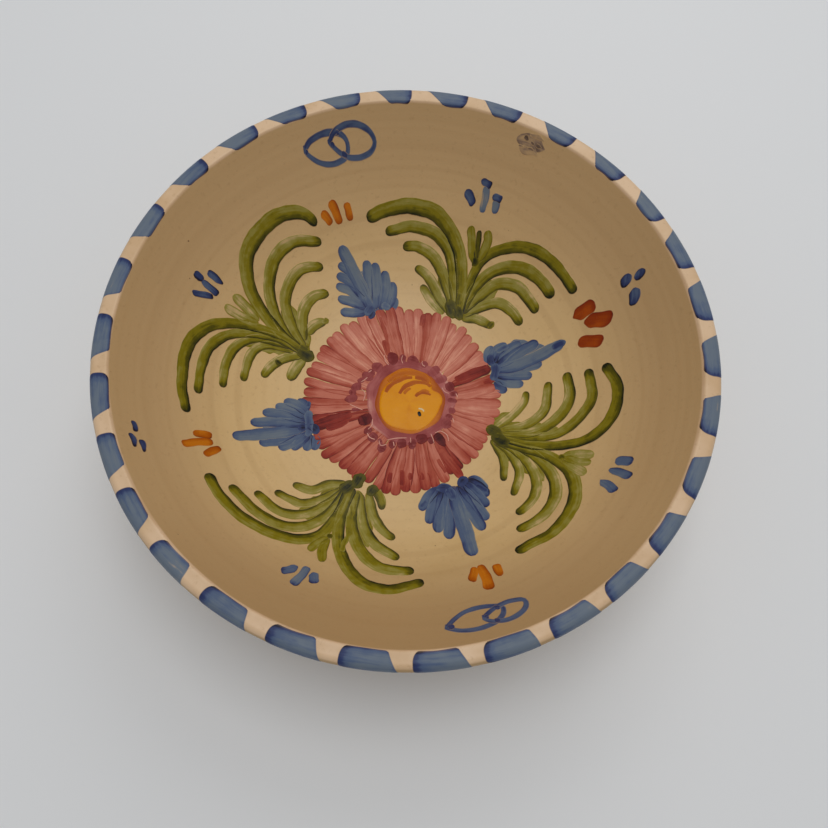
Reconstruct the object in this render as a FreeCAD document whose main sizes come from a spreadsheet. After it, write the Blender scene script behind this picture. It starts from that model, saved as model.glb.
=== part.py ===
import FreeCAD, Part
import math
import os
import Sketcher

# A deep hand painted earthenware dish, in millimetres, standing on its foot ring with +Z up.
# The origin is the middle of the foot ring, on the table. The clay, the glaze and the paint
# are laid one on another as the potter and the painter lay them: every layer follows one
# wall curve, stepped off along its normal by that layer's own height.

doc = FreeCAD.newDocument("painted_dish")
Vec = FreeCAD.Vector

# ---------------------------------------------------------------- driving dimensions
SIZES = {
    "rim_radius": 150.0,          # outermost glazed edge
    "floor_radius": 35.0,         # flat middle of the floor
    "floor_top": 17.0,            # glazed floor above the table
    "floor_bend": 98.0,           # radius of the turn from floor to wall
    "bend_angle": 42.0,           # slope, in degrees, where the turn passes into the wall
    "wall_bend": 200.0,           # radius of the wall's slow curve up to the lip
    "wall_thickness": 9.5,
    "lip_inner_round": 1.2,
    "lip_outer_round": 3.5,
    "glaze_thickness": 0.5,
    "glaze_stop_radius": 68.0,    # the glaze is wiped back to here, clear of the foot
    "foot_outer_radius": 66.0,
    "foot_inner_radius": 57.0,
    "foot_chamfer": 1.2,
    "paint_thickness": 0.3,
    "lip_paint_drop": 1.0,        # how far a lip stroke runs down the outside, in degrees of wall
    "painting_reach": 100.0,      # height of the upright prisms that outline the strokes
    "heart_radius": 19.2,
    "plum_inner_radius": 19.6,
    "plum_outer_radius": 27.4,
    "petal_inner_radius": 27.8,
    "petal_outer_radius": 56.0,
    "petal_fill": 0.9,            # a petal's share of its own pitch
    "petal_count": 60,
    "field_inner_radius": 56.4,   # leaves and sprays start outside the petals
    "field_outer_radius": 140.0,
    "lip_stroke_count": 30,
    "lip_stroke_inner": 141.4,
    "lip_stroke_outer": 151.5,
    "lip_stroke_angle": 8.0,
}
sheet = doc.addObject("Spreadsheet::Sheet", "sizes")
for row, (word, value) in enumerate(SIZES.items(), start=1):
    sheet.set(f"A{row}", word)
    sheet.set(f"B{row}", str(value))
    sheet.setAlias(f"B{row}", word)
doc.recompute()


def size(word):
    """A driving dimension, read back from the sheet."""
    return float(sheet.get(word))


# ---------------------------------------------------------------- the wall curve
# Radius and height of the glazed face: a flat floor, a turn of floor_bend, a slow curve of
# wall_bend, then the lip's two rounds with a flat between, and the same two curves outside.
FLOOR_R = size("floor_radius")
FLOOR_Z = size("floor_top")
TURN_R = size("floor_bend")
WALL_R = size("wall_bend")
THICK = size("wall_thickness")
SLOPE = math.radians(size("bend_angle"))
TURN_C = Vec(FLOOR_R, FLOOR_Z + TURN_R, 0)
WALL_C = TURN_C + Vec(math.sin(SLOPE), -math.cos(SLOPE), 0) * (TURN_R - WALL_R)
DOWN = -math.pi / 2

outer_round = size("lip_outer_round")
inner_round = size("lip_inner_round")
outer_x = size("rim_radius") - outer_round
outer_reach = WALL_R + THICK - outer_round
OUTER_C = Vec(outer_x, WALL_C.y - math.sqrt(outer_reach**2 - (outer_x - WALL_C.x) ** 2), 0)
LIP_Z = OUTER_C.y + outer_round
inner_y = LIP_Z - inner_round
inner_reach = WALL_R + inner_round
INNER_C = Vec(WALL_C.x + math.sqrt(inner_reach**2 - (inner_y - WALL_C.y) ** 2), inner_y, 0)
INNER_TURN = math.atan2(INNER_C.y - WALL_C.y, INNER_C.x - WALL_C.x)
OUTER_TURN = math.atan2(OUTER_C.y - WALL_C.y, OUTER_C.x - WALL_C.x)


def arc(centre, radius, low, high):
    """An arc of a circle between two angles in radians, anticlockwise."""
    return Part.ArcOfCircle(Part.Circle(centre, Vec(0, 0, 1), radius), low, high)


def line(start, end):
    return Part.LineSegment(start, end)


def turn_angle(radius, thickness=0.0):
    """Angle on the floor's turn, or on its outside, at a given radius from the axis."""
    return math.asin((radius - FLOOR_R) / (TURN_R + thickness)) + DOWN


def wall_angle(radius):
    return math.acos((radius - WALL_C.x) / WALL_R) * -1


def inside_curve(height, start, stop):
    """The inside face, `height` above the glaze, between two radii from the axis outwards."""
    turn_end = FLOOR_R + TURN_R * math.sin(SLOPE)
    curve = []
    if start < FLOOR_R:
        reach = min(stop, FLOOR_R)
        curve.append(line(Vec(start, FLOOR_Z + height, 0), Vec(reach, FLOOR_Z + height, 0)))
    if stop > FLOOR_R and start < turn_end:
        low = turn_angle(max(start, FLOOR_R))
        high = turn_angle(min(stop, turn_end))
        curve.append(arc(TURN_C, TURN_R - height, low, high))
    if stop > turn_end:
        low = wall_angle(max(start, turn_end))
        curve.append(arc(WALL_C, WALL_R - height, low, min(wall_angle(stop), INNER_TURN)))
    return curve


def lip_curve(height):
    """The lip from its inner round across the flat to its outer round."""
    across = line(INNER_C + Vec(0, inner_round + height, 0), OUTER_C + Vec(0, outer_round + height, 0))
    return [
        arc(INNER_C, inner_round + height, math.pi / 2, INNER_TURN + math.pi),
        across,
        arc(OUTER_C, outer_round + height, OUTER_TURN, math.pi / 2),
    ]


def outside_curve(height, stop_angle):
    """The outside face from the lip down and in, ending at an angle on the floor's turn."""
    return [
        arc(WALL_C, WALL_R + THICK + height, SLOPE + DOWN, OUTER_TURN),
        arc(TURN_C, TURN_R + THICK + height, stop_angle, SLOPE + DOWN),
    ]


def inside_point(radius, height):
    """Where the normal at a radius of the inside face meets the level `height` above it."""
    if radius <= FLOOR_R:
        return Vec(radius, FLOOR_Z + height, 0)
    if radius <= FLOOR_R + TURN_R * math.sin(SLOPE):
        centre, reach, angle = TURN_C, TURN_R - height, turn_angle(radius)
    else:
        centre, reach, angle = WALL_C, WALL_R - height, wall_angle(radius)
    return centre + Vec(math.cos(angle), math.sin(angle), 0) * reach


def polar(centre, radius, angle):
    return centre + Vec(math.cos(angle), math.sin(angle), 0) * radius


# ---------------------------------------------------------------- document helpers
def origin_part(body, role):
    """One of a body's own origin planes or axes, by its role."""
    return next(f for f in body.Origin.OriginFeatures if f.Role == role)


def new_body(name):
    body = doc.addObject("PartDesign::Body", name)
    body.Label = name
    return body


def new_sketch(body, name, plane, curves):
    """A sketch on the body's own plane holding a closed run of lines and arcs."""
    sketch = body.newObject("Sketcher::SketchObject", name)
    sketch.AttachmentSupport = (origin_part(body, plane), [""])
    sketch.MapMode = "FlatFace"
    sketch.addGeometry(curves, False)
    return sketch


def bind_radius(sketch, edge, rule):
    """Ties the radius of one arc of a sketch to the sheet."""
    number = sketch.addConstraint(Sketcher.Constraint("Radius", edge, sketch.Geometry[edge].Radius))
    sketch.setExpression(f"Constraints[{number}]", rule)


def bind_distance(sketch, way, edge, point, rule, value):
    """Ties a point's distance from the axis ("DistanceX") or the table ("DistanceY")."""
    number = sketch.addConstraint(Sketcher.Constraint(way, -1, 1, edge, point, value))
    sketch.setExpression(f"Constraints[{number}]", rule)


def turned(body, sketch):
    """A full turn of a sketch about the dish's axis."""
    turn = body.newObject("PartDesign::Revolution", body.Name + "_turn")
    turn.Profile = sketch
    turn.ReferenceAxis = (sketch, ["V_Axis"])
    turn.Angle = 360
    body.Tip = turn
    return turn


# ---------------------------------------------------------------- thrown clay body
# One thrown and turned piece: floor, wall and thick lip, closed under the floor.
skin = -size("glaze_thickness")
bowl_body = new_body("bowl_body")
under_z = FLOOR_Z - THICK - skin
clay_curves = (
    inside_curve(skin, 0.0, size("rim_radius"))
    + lip_curve(skin)
    + outside_curve(skin, DOWN)
    + [line(Vec(FLOOR_R, under_z, 0), Vec(0, under_z, 0)), line(Vec(0, under_z, 0), Vec(0, FLOOR_Z + skin, 0))]
)
clay_sketch = new_sketch(bowl_body, "clay_section", "XZ_Plane", clay_curves)
bind_radius(clay_sketch, 1, "sizes.floor_bend + sizes.glaze_thickness")
bind_radius(clay_sketch, 2, "sizes.wall_bend + sizes.glaze_thickness")
bind_radius(clay_sketch, 3, "sizes.lip_inner_round - sizes.glaze_thickness")
bind_radius(clay_sketch, 5, "sizes.lip_outer_round - sizes.glaze_thickness")
bind_radius(clay_sketch, 6, "sizes.wall_bend + sizes.wall_thickness - sizes.glaze_thickness")
bind_radius(clay_sketch, 7, "sizes.floor_bend + sizes.wall_thickness - sizes.glaze_thickness")
bind_distance(clay_sketch, "DistanceX", 0, 2, "sizes.floor_radius", FLOOR_R)
bind_distance(clay_sketch, "DistanceY", 0, 2, "sizes.floor_top - sizes.glaze_thickness", FLOOR_Z + skin)
turned(bowl_body, clay_sketch)

# ---------------------------------------------------------------- foot ring
# A ring of the same clay, luted under the floor while leather hard, its tread chamfered.
foot_ring = new_body("foot_ring")
foot_out = size("foot_outer_radius")
foot_in = size("foot_inner_radius")
chamfer = size("foot_chamfer")
under_reach = TURN_R + THICK + skin
out_angle = math.asin((foot_out - FLOOR_R) / under_reach) + DOWN
in_angle = math.asin((foot_in - FLOOR_R) / under_reach) + DOWN
foot_corners = [
    polar(TURN_C, under_reach, out_angle),
    Vec(foot_out, chamfer, 0),
    Vec(foot_out - chamfer, 0, 0),
    Vec(foot_in + chamfer, 0, 0),
    Vec(foot_in, chamfer, 0),
    polar(TURN_C, under_reach, in_angle),
]
foot_curves = [line(a, b) for a, b in zip(foot_corners, foot_corners[1:])]
foot_curves.append(arc(TURN_C, under_reach, in_angle, out_angle))
foot_sketch = new_sketch(foot_ring, "foot_section", "XZ_Plane", foot_curves)
bind_distance(foot_sketch, "DistanceX", 0, 2, "sizes.foot_outer_radius", foot_out)
bind_distance(foot_sketch, "DistanceX", 4, 1, "sizes.foot_inner_radius", foot_in)
bind_distance(foot_sketch, "DistanceY", 0, 2, "sizes.foot_chamfer", chamfer)
turned(foot_ring, foot_sketch)

# ---------------------------------------------------------------- glaze coat
# Cream slip under a clear glaze, one skin over the inside, the lip and the outside wall.
glaze_coat = new_body("glaze_coat")
stop = turn_angle(size("glaze_stop_radius"), THICK)
glaze_curves = (
    inside_curve(0.0, 0.0, size("rim_radius"))
    + lip_curve(0.0)
    + outside_curve(0.0, stop)
    + [line(polar(TURN_C, TURN_R + THICK, stop), polar(TURN_C, TURN_R + THICK + skin, stop))]
    + outside_curve(skin, stop)
    + lip_curve(skin)
    + inside_curve(skin, 0.0, size("rim_radius"))
    + [line(Vec(0, FLOOR_Z + skin, 0), Vec(0, FLOOR_Z, 0))]
)
glaze_sketch = new_sketch(glaze_coat, "glaze_section", "XZ_Plane", glaze_curves)
bind_radius(glaze_sketch, 1, "sizes.floor_bend")
bind_radius(glaze_sketch, 2, "sizes.wall_bend")
bind_radius(glaze_sketch, 3, "sizes.lip_inner_round")
bind_radius(glaze_sketch, 5, "sizes.lip_outer_round")
bind_distance(glaze_sketch, "DistanceY", 0, 1, "sizes.floor_top", FLOOR_Z)
turned(glaze_coat, glaze_sketch)

# ---------------------------------------------------------------- paint films
PAINT = size("paint_thickness")


def film_band(name, start_word, stop_word):
    """A skin of paint on the inside of the dish between two radii, given by their words."""
    body = new_body(name)
    start = size(start_word) if start_word else 0.0
    stop_radius = size(stop_word)
    curves = inside_curve(0.0, start, stop_radius)
    inner_edges = len(curves)
    curves += [line(inside_point(stop_radius, 0.0), inside_point(stop_radius, PAINT))]
    curves += inside_curve(PAINT, start, stop_radius)
    curves += [line(inside_point(start, PAINT), inside_point(start, 0.0))]
    sketch = new_sketch(body, name + "_section", "XZ_Plane", curves)
    bind_distance(sketch, "DistanceX", inner_edges, 1, f"sizes.{stop_word}", stop_radius)
    turned(body, sketch)
    return body


film_band("flower_heart", None, "heart_radius")
film_band("flower_ring", "plum_inner_radius", "plum_outer_radius")
petal_film = film_band("petal_film", "petal_inner_radius", "petal_outer_radius")
field_film = film_band("field_film", "field_inner_radius", "field_outer_radius")

lip_film = new_body("lip_film")
lip_stop = OUTER_TURN - math.radians(size("lip_paint_drop"))
lip_film_curves = (
    lip_curve(0.0)
    + [arc(WALL_C, WALL_R + THICK, lip_stop, OUTER_TURN)]
    + [line(polar(WALL_C, WALL_R + THICK, lip_stop), polar(WALL_C, WALL_R + THICK + PAINT, lip_stop))]
    + [arc(WALL_C, WALL_R + THICK + PAINT, lip_stop, OUTER_TURN)]
    + lip_curve(PAINT)
    + [line(polar(WALL_C, WALL_R - PAINT, INNER_TURN), polar(WALL_C, WALL_R, INNER_TURN))]
)
lip_film_sketch = new_sketch(lip_film, "lip_film_section", "XZ_Plane", lip_film_curves)
bind_radius(lip_film_sketch, 0, "sizes.lip_inner_round")
bind_radius(lip_film_sketch, 2, "sizes.lip_outer_round")
turned(lip_film, lip_film_sketch)


# ---------------------------------------------------------------- brush strokes
ROOT_SHARE = 0.36      # a stroke's half width at its root, as a share of its full width
BELLY_SHARE = 0.5
TIP_SHARE = 0.42
LEAST_BOW = 0.02       # a straight stroke still bows by this share of its length


def stroke_outline(root, tip, bow, width):
    """Outline of one stroke from root to tip, bowed to its left by `bow`: two long arcs and two end caps."""
    root, tip = Vec(*root, 0), Vec(*tip, 0)
    chord = tip - root
    length = chord.Length
    if abs(bow) < LEAST_BOW * length:
        bow = LEAST_BOW * length
    along = chord / length
    left = Vec(-along.y, along.x, 0)
    belly = root + chord / 2 + left * bow
    lean = 2 * math.atan2(2 * bow, length)      # angle between the chord and the stroke's ends
    start_way = along * math.cos(lean) + left * math.sin(lean)
    end_way = along * math.cos(lean) - left * math.sin(lean)
    start_left = Vec(-start_way.y, start_way.x, 0)
    end_left = Vec(-end_way.y, end_way.x, 0)
    root_half, belly_half, tip_half = (width * share for share in (ROOT_SHARE, BELLY_SHARE, TIP_SHARE))
    corners = [root + start_left * root_half, tip + end_left * tip_half]
    corners += [tip - end_left * tip_half, root - start_left * root_half]
    return [
        Part.Arc(corners[0], belly + left * belly_half, corners[1]),
        Part.Arc(corners[1], tip + end_way * tip_half, corners[2]),
        Part.Arc(corners[2], belly - left * belly_half, corners[3]),
        Part.Arc(corners[3], root - start_way * root_half, corners[0]),
    ]


def add_prism(body, number, curves):
    """Pads one outline up through the dish, its length bound to the sheet."""
    sketch = new_sketch(body, f"{body.Name}_outline_{number}", "XY_Plane", curves)
    pad = body.newObject("PartDesign::Pad", f"{body.Name}_prism_{number}")
    pad.Profile = sketch
    pad.setExpression("Length", "sizes.painting_reach")
    body.Tip = pad
    return pad


def painted(name, prisms, film):
    """The part of a paint film that lies within the prisms: one motif, in its own node."""
    motif = doc.addObject("Part::Common", name)
    motif.Label = name
    motif.Base = prisms
    motif.Tool = film
    motif.Refine = False
    return motif


def film_copy(film, name):
    """A film in its own right for one motif, so that no two motifs share a tool."""
    copy = doc.addObject("Part::Feature", name + "_film")
    copy.Shape = film.Shape
    return copy


doc.recompute()


def paint_strokes(name, strokes, film):
    """A motif of strokes, each (root, tip, bow, width)."""
    body = new_body(name + "_prisms")
    for number, stroke in enumerate(strokes, start=1):
        add_prism(body, number, stroke_outline(*stroke))
    return painted(name, body, film_copy(film, name))


# ---------------------------------------------------------------- lip strokes
# Thirty short blue dashes laid across the lip, evenly spaced, wrapping over its outer edge.
lip_prisms = new_body("lip_strokes_prisms")
half_turn = math.radians(size("lip_stroke_angle")) / 2
lip_in, lip_out = size("lip_stroke_inner"), size("lip_stroke_outer")
ends = {
    (side, reach): Vec(reach * math.cos(side * half_turn), reach * math.sin(side * half_turn), 0)
    for side in (-1, 1)
    for reach in (lip_in, lip_out)
}
middle = (lip_in + lip_out) / 2
cap = half_turn * 1.25          # the rounded ends stand out by a quarter of the half stroke
lip_outline = [
    arc(Vec(0, 0, 0), lip_out, -half_turn, half_turn),
    Part.Arc(ends[1, lip_out], Vec(middle * math.cos(cap), middle * math.sin(cap), 0), ends[1, lip_in]),
    arc(Vec(0, 0, 0), lip_in, -half_turn, half_turn),
    Part.Arc(ends[-1, lip_in], Vec(middle * math.cos(cap), -middle * math.sin(cap), 0), ends[-1, lip_out]),
]


def patterned(body, pad, count_word):
    """Repeats a pad round the dish's axis, its count bound to the sheet."""
    ring = body.newObject("PartDesign::PolarPattern", body.Name + "_ring")
    ring.Originals = [pad]
    ring.Axis = (origin_part(body, "Z_Axis"), [""])
    ring.Angle = 360
    ring.setExpression("Occurrences", f"sizes.{count_word}")
    body.Tip = ring
    return ring


lip_pad = add_prism(lip_prisms, 1, lip_outline)
patterned(lip_prisms, lip_pad, "lip_stroke_count")
painted("lip_strokes", lip_prisms, lip_film)

# ---------------------------------------------------------------- flower petals
# Sixty strokes pulled outwards from the plum ring, each with a round outer end.
petal_prisms = new_body("flower_petals_prisms")
petal_half = math.pi / size("petal_count") * size("petal_fill")
petal_in, petal_out = size("petal_inner_radius"), size("petal_outer_radius")
shoulder = petal_out * 0.95
petal_corners = {
    (side, reach): Vec(reach * math.cos(petal_half), side * reach * math.sin(petal_half), 0)
    for side in (-1, 1)
    for reach in (petal_in, shoulder)
}
petal_outline = [
    line(petal_corners[-1, petal_in], petal_corners[-1, shoulder]),
    Part.Arc(petal_corners[-1, shoulder], Vec(petal_out, 0, 0), petal_corners[1, shoulder]),
    line(petal_corners[1, shoulder], petal_corners[1, petal_in]),
    line(petal_corners[1, petal_in], petal_corners[-1, petal_in]),
]
petal_pad = add_prism(petal_prisms, 1, petal_outline)
patterned(petal_prisms, petal_pad, "petal_count")
painted("flower_petals", petal_prisms, petal_film)

# ---------------------------------------------------------------- green sprays
# Four sprays, each two fronds of curved fingers from one root at the flower's edge, with a
# short bud in the fork. A finger is (tip, bow); a bud stroke runs from the fork to its tip.
FINGER_WIDTH = 5.6
BUD_WIDTH = 4.4
SPRAYS = {
    "leaf_spray_left": {
        "root": (-57, 22),
        "fingers": [((-57, 91), 35), ((-54, 84), 25), ((-52, 72), 18), ((-48, 59), 11), ((-47, 43), 5),
                    ((-110, -29), -31), ((-107, -16), -22), ((-98, -8), -15), ((-89, -1), -9),
                    ((-80, 4), -4), ((-65, 6), -2)],
        "fork": (-82, 37),
        "buds": [(-97, 42), (-99, 35)],
    },
    "leaf_spray_top": {
        "root": (25, 54),
        "fingers": [((-29, 98.5), -31), ((-19, 93.5), -22), ((-7, 88), -12), ((1, 78), -6), ((5, 69), -2),
                    ((90, 58), 30), ((79, 58), 21), ((71, 51.5), 15), ((63, 46), 9.5), ((47, 46), 2)],
        "fork": (35, 81),
        "buds": [(30.5, 98), (36, 97), (41.5, 94)],
    },
    "leaf_spray_bottom": {
        "root": (-24, -54),
        "fingers": [((-96, -59), 32), ((-86, -63), 23), ((-74, -63), 15), ((-65, -61.5), 8), ((-56, -55), 4),
                    ((16, -105.5), -28), ((11, -99.5), -17), ((3, -93), -9), ((0, -82), -4), ((-8, -66), 2)],
        "fork": (-33, -83),
        "buds": [(-42, -93), (-35.5, -99)],
    },
    "leaf_spray_right": {
        "root": (52, -20),
        "fingers": [((105, 16), -29), ((98, 16), -20), ((87, 16), -14), ((78, 12), -9), ((67, 8), -4),
                    ((60, -88), 34), ((61, -76), 25), ((61, -66), 15), ((60, -55), 8), ((56, -46), 3)],
        "fork": (85, -32),
        "buds": [(98, -34), (97, -39), (94, -44.5)],
    },
}
for name, spray in SPRAYS.items():
    fingers = [(spray["root"], tip, bow, FINGER_WIDTH) for tip, bow in spray["fingers"]]
    buds = [(spray["fork"], tip, 0, BUD_WIDTH) for tip in spray["buds"]]
    paint_strokes(name, fingers + buds, field_film)

# ---------------------------------------------------------------- blue leaves
# Four feathered leaves, each a fan of strokes from one base, the longest making the tip.
LEAF_STROKE_WIDTH = 6.6
LEAVES = {
    "blue_leaf_left": ((-53, -21), [(-60, -6), (-67, -8), (-72, -12), (-77, -17), (-82, -24.5), (-89.5, -35),
                                    (-76, -35.5), (-66, -36.5), (-59, -36), (-52, -35.5), (-48, -34)]),
    "blue_leaf_top": ((-23, 53), [(-41, 50), (-43, 57), (-44.5, 63.5), (-44.5, 69), (-44, 74.5), (-43, 84),
                                  (-28, 79), (-22, 78), (-17, 75), (-12, 70), (-11, 62)]),
    "blue_leaf_bottom": ((28, -53), [(12.5, -64.5), (17, -72), (22, -77), (28, -80.5), (40, -90),
                                     (45.5, -75), (48, -69), (48.5, -62), (48, -56), (47.5, -51)]),
    "blue_leaf_right": ((51, 21), [(48, 35), (56, 36), (64, 36.5), (73, 35.5), (86, 33), (76, 23),
                                   (70.5, 16.5), (66, 11.5), (57, 7.5)]),
}
for name, (base, tips) in LEAVES.items():
    paint_strokes(name, [(base, tip, 0, LEAF_STROKE_WIDTH) for tip in tips], field_film)

# ---------------------------------------------------------------- ticks and dots
# Short marks between the motifs, each laid with one touch: (start, end, bow, width).
MARKS = {
    "orange_ticks_left": [((-105, -39.5), (-97, -38), 0, 4), ((-108, -47), (-96, -41), 0, 4.2),
                          ((-98, -50), (-92, -43), 0, 3.8)],
    "orange_ticks_top": [((-53, 96), (-48, 91.5), 0, 4), ((-49, 102), (-44, 92.5), 0, 4.6),
                         ((-40.5, 103), (-38, 96), 0, 4)],
    "orange_ticks_bottom": [((41, -97), (38, -104), 0, 4.2), ((43, -95), (47, -108), 0, 4.6),
                            ((50, -95), (52, -101.5), 0, 4.2)],
    "orange_ticks_right": [((90.5, 45.5), (99, 49), 0, 6.2), ((96, 41), (107, 38), 0, 6.4),
                           ((94, 31.5), (103, 29), 0, 5.8)],
    "blue_ticks_left": [((-108, 49), (-102, 46), 0, 4), ((-114, 46), (-113, 42), 0, 4.2),
                        ((-110, 41), (-105, 40), 0, 4), ((-114, 35), (-106, 37), 0, 3)],
    "blue_ticks_top": [((27, 112), (31, 108), 0, 4), ((37, 115), (36.5, 104), 0, 4.4),
                       ((44, 109), (43, 102.5), 0, 4.2)],
    "blue_ticks_bottom": [((-47, -103), (-52, -106), 0, 3.6), ((-41, -103), (-45, -112), 0, 4.4),
                          ((-38, -106), (-36, -110.5), 0, 4)],
    "blue_ticks_right": [((109, -40), (115, -43), 0, 5), ((105, -44.5), (113, -50), 0, 4),
                         ((101, -51), (106, -58), 0, 4)],
    "blue_dots_right": [((112, 57), (112, 54.5), 0, 4.6), ((117.5, 57), (117.5, 55), 0, 4.4),
                        ((116, 48.5), (116, 44), 0, 4.4)],
    "blue_dots_left": [((-127, -46), (-126, -50), 0, 2.8), ((-125, -53), (-124, -57), 0, 2.4),
                       ((-121.5, -53.5), (-120, -58), 0, 2.4)],
}
for name, marks in MARKS.items():
    paint_strokes(name, marks, field_film)

# ---------------------------------------------------------------- linked rings
# A pair of plain interlaced loops drawn with a fine brush, twice, facing each other.
RING_LINE = 1.6


def loop_edge(centre, half_long, half_short, tilt):
    """An ellipse, its long half axis turned by `tilt` degrees."""
    way = Vec(math.cos(math.radians(tilt)), math.sin(math.radians(tilt)), 0)
    across = Vec(-way.y, way.x, 0)
    ellipse = Part.Ellipse(centre + way * half_long, centre + across * half_short, centre)
    return ellipse


LOOPS = {
    "linked_rings_top": [((-51, 120.5), 13, 5.6, 20), ((-38.5, 125.5), 13, 5.6, 10)],
    "linked_rings_bottom": [((37.5, -123.5), 13, 4.6, 27), ((52, -119), 11, 3.8, 30)],
}
for name, loops in LOOPS.items():
    body = new_body(name + "_prisms")
    for number, (centre, half_long, half_short, tilt) in enumerate(loops, start=1):
        rim_pair = [
            loop_edge(Vec(*centre, 0), half_long + step, half_short + step, tilt)
            for step in (RING_LINE / 2, -RING_LINE / 2)
        ]
        add_prism(body, number, rim_pair)
    painted(name, body, film_copy(field_film, name))

# ---------------------------------------------------------------- checks and files
doc.recompute()
NODES = ["bowl_body", "foot_ring", "glaze_coat", "lip_strokes", "flower_heart", "flower_ring", "flower_petals"]
NODES += list(SPRAYS) + list(LEAVES) + list(MARKS) + list(LOOPS)

for item in doc.Objects:
    if "Invalid" in item.State or "Error" in item.State:
        raise RuntimeError(f"{item.Label} did not compute: {item.State}")

os.makedirs("parts", exist_ok=True)
for node in NODES:
    shape = doc.getObjectsByLabel(node)[0].Shape
    if shape.isNull() or not shape.isValid() or shape.Volume <= 0:
        raise RuntimeError(f"{node} has no sound shape")
    shape.exportStep(f"parts/{node}.step")
    print(f"{node:22s} {len(shape.Solids):3d} solids {shape.Volume:12.1f} mm3")
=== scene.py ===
import math
import random

import bmesh
import bpy
import numpy as np
from mathutils import Matrix, Vector


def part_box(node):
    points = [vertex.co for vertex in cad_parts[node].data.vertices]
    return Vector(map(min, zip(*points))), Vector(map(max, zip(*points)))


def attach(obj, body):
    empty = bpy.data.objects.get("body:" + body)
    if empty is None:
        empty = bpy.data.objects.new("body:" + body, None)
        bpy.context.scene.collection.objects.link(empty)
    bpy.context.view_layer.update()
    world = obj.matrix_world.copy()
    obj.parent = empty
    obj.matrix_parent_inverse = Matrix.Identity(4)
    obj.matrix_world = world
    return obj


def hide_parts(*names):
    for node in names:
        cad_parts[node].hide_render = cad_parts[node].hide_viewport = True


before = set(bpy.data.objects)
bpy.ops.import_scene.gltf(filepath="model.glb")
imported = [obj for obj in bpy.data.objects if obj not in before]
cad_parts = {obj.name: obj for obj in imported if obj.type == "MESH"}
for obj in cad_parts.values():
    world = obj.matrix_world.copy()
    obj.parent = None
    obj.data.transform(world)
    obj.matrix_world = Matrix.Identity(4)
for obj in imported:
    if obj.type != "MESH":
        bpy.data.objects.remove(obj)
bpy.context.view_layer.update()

# ---------------------------------------------------------------- clay body
# The dish itself: red earthenware thrown on a wheel in one piece and turned when leather hard.
# Nearly all of it lies under the glaze; bare clay shows only on the underside, round the foot.
MM = 0.001
glaze_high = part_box("glaze_coat")[1]
RIM_RADIUS = glaze_high.x / MM
LIP_TOP = glaze_high.z / MM
FLOOR_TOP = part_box("flower_heart")[0].z / MM
# Its profile in mm: a flat floor, one bend up to TURN_SLOPE, then a wider bend up to the lip.
FLOOR_RADIUS = 35.0
TURN_BEND = 98.0
TURN_SLOPE = math.radians(42)
WALL_BEND = 200.0
WALL_THICK = 9.5
INNER_ROUND = 1.2
OUTER_ROUND = 3.5
GLAZE_THICK = 0.5
# The hand's unevenness: none below TRUE_BELOW and growing over WANDER_RISE, with faint throwing
# rings and dents. The skin stops AXIS_GAP short of the middle, where one last face closes it.
TRUE_BELOW = 12
WANDER_RISE = 80
RING_HEIGHT = 0.016
DENT_DEPTH = 0.07
AXIS_GAP = 0.6
RIGHT_ANGLE = math.pi / 2


def dish_profile(step=0.2):
    """Radius, height and outward direction of the glazed skin, in mm, from the middle of the
    floor up the wall, over the lip and down the outside to the middle of the underside."""
    rows = []

    def level(start, end, height, up):
        for radius in np.linspace(start, end, max(2, int(abs(end - start) / step))):
            rows.append((radius, height, 0.0, up))

    def bend(centre, radius, start, end, side):
        for angle in np.linspace(start, end, max(4, int(abs(end - start) * radius / step))):
            out, up = math.cos(angle), math.sin(angle)
            rows.append((centre[0] + radius * out, centre[1] + radius * up, side * out, side * up))

    turn_end = TURN_SLOPE - RIGHT_ANGLE
    turn = (FLOOR_RADIUS, FLOOR_TOP + TURN_BEND)
    wall = (
        turn[0] + math.sin(TURN_SLOPE) * (TURN_BEND - WALL_BEND),
        turn[1] - math.cos(TURN_SLOPE) * (TURN_BEND - WALL_BEND),
    )
    outer = (RIM_RADIUS - OUTER_ROUND, LIP_TOP - OUTER_ROUND)
    reach = WALL_BEND + INNER_ROUND
    inner_z = LIP_TOP - INNER_ROUND
    inner = (wall[0] + math.sqrt(reach**2 - (inner_z - wall[1]) ** 2), inner_z)
    inner_turn = math.atan2(inner[1] - wall[1], inner[0] - wall[0])
    outer_turn = math.atan2(outer[1] - wall[1], outer[0] - wall[0])
    level(0, FLOOR_RADIUS, FLOOR_TOP, 1)
    bend(turn, TURN_BEND, -RIGHT_ANGLE, turn_end, -1)
    bend(wall, WALL_BEND, turn_end, inner_turn, -1)
    bend(inner, INNER_ROUND, inner_turn + math.pi, RIGHT_ANGLE, 1)
    level(inner[0], outer[0], LIP_TOP, 1)
    bend(outer, OUTER_ROUND, RIGHT_ANGLE, outer_turn, 1)
    bend(wall, WALL_BEND + WALL_THICK, outer_turn, turn_end, 1)
    bend(turn, TURN_BEND + WALL_THICK, turn_end, -RIGHT_ANGLE, 1)
    level(FLOOR_RADIUS, 0, FLOOR_TOP - WALL_THICK, -1)
    rows = np.array(rows)
    # Places where two parts of the profile meet are there twice, and one of each is dropped.
    gaps = np.hypot(*np.diff(rows[:, :2], axis=0).T)
    rows = rows[np.concatenate([[True], gaps > 1e-6])]
    gaps = np.hypot(*np.diff(rows[:, :2], axis=0).T)
    return np.concatenate([[0.0], np.cumsum(gaps)]), rows, inner[0]


skin_run, skin_rows, LIP_INSIDE = dish_profile()
inside_rows = int(np.argmax(skin_rows[:, 0] >= LIP_INSIDE - 0.5))
UNDERSIDE = skin_run[-1]


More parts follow.
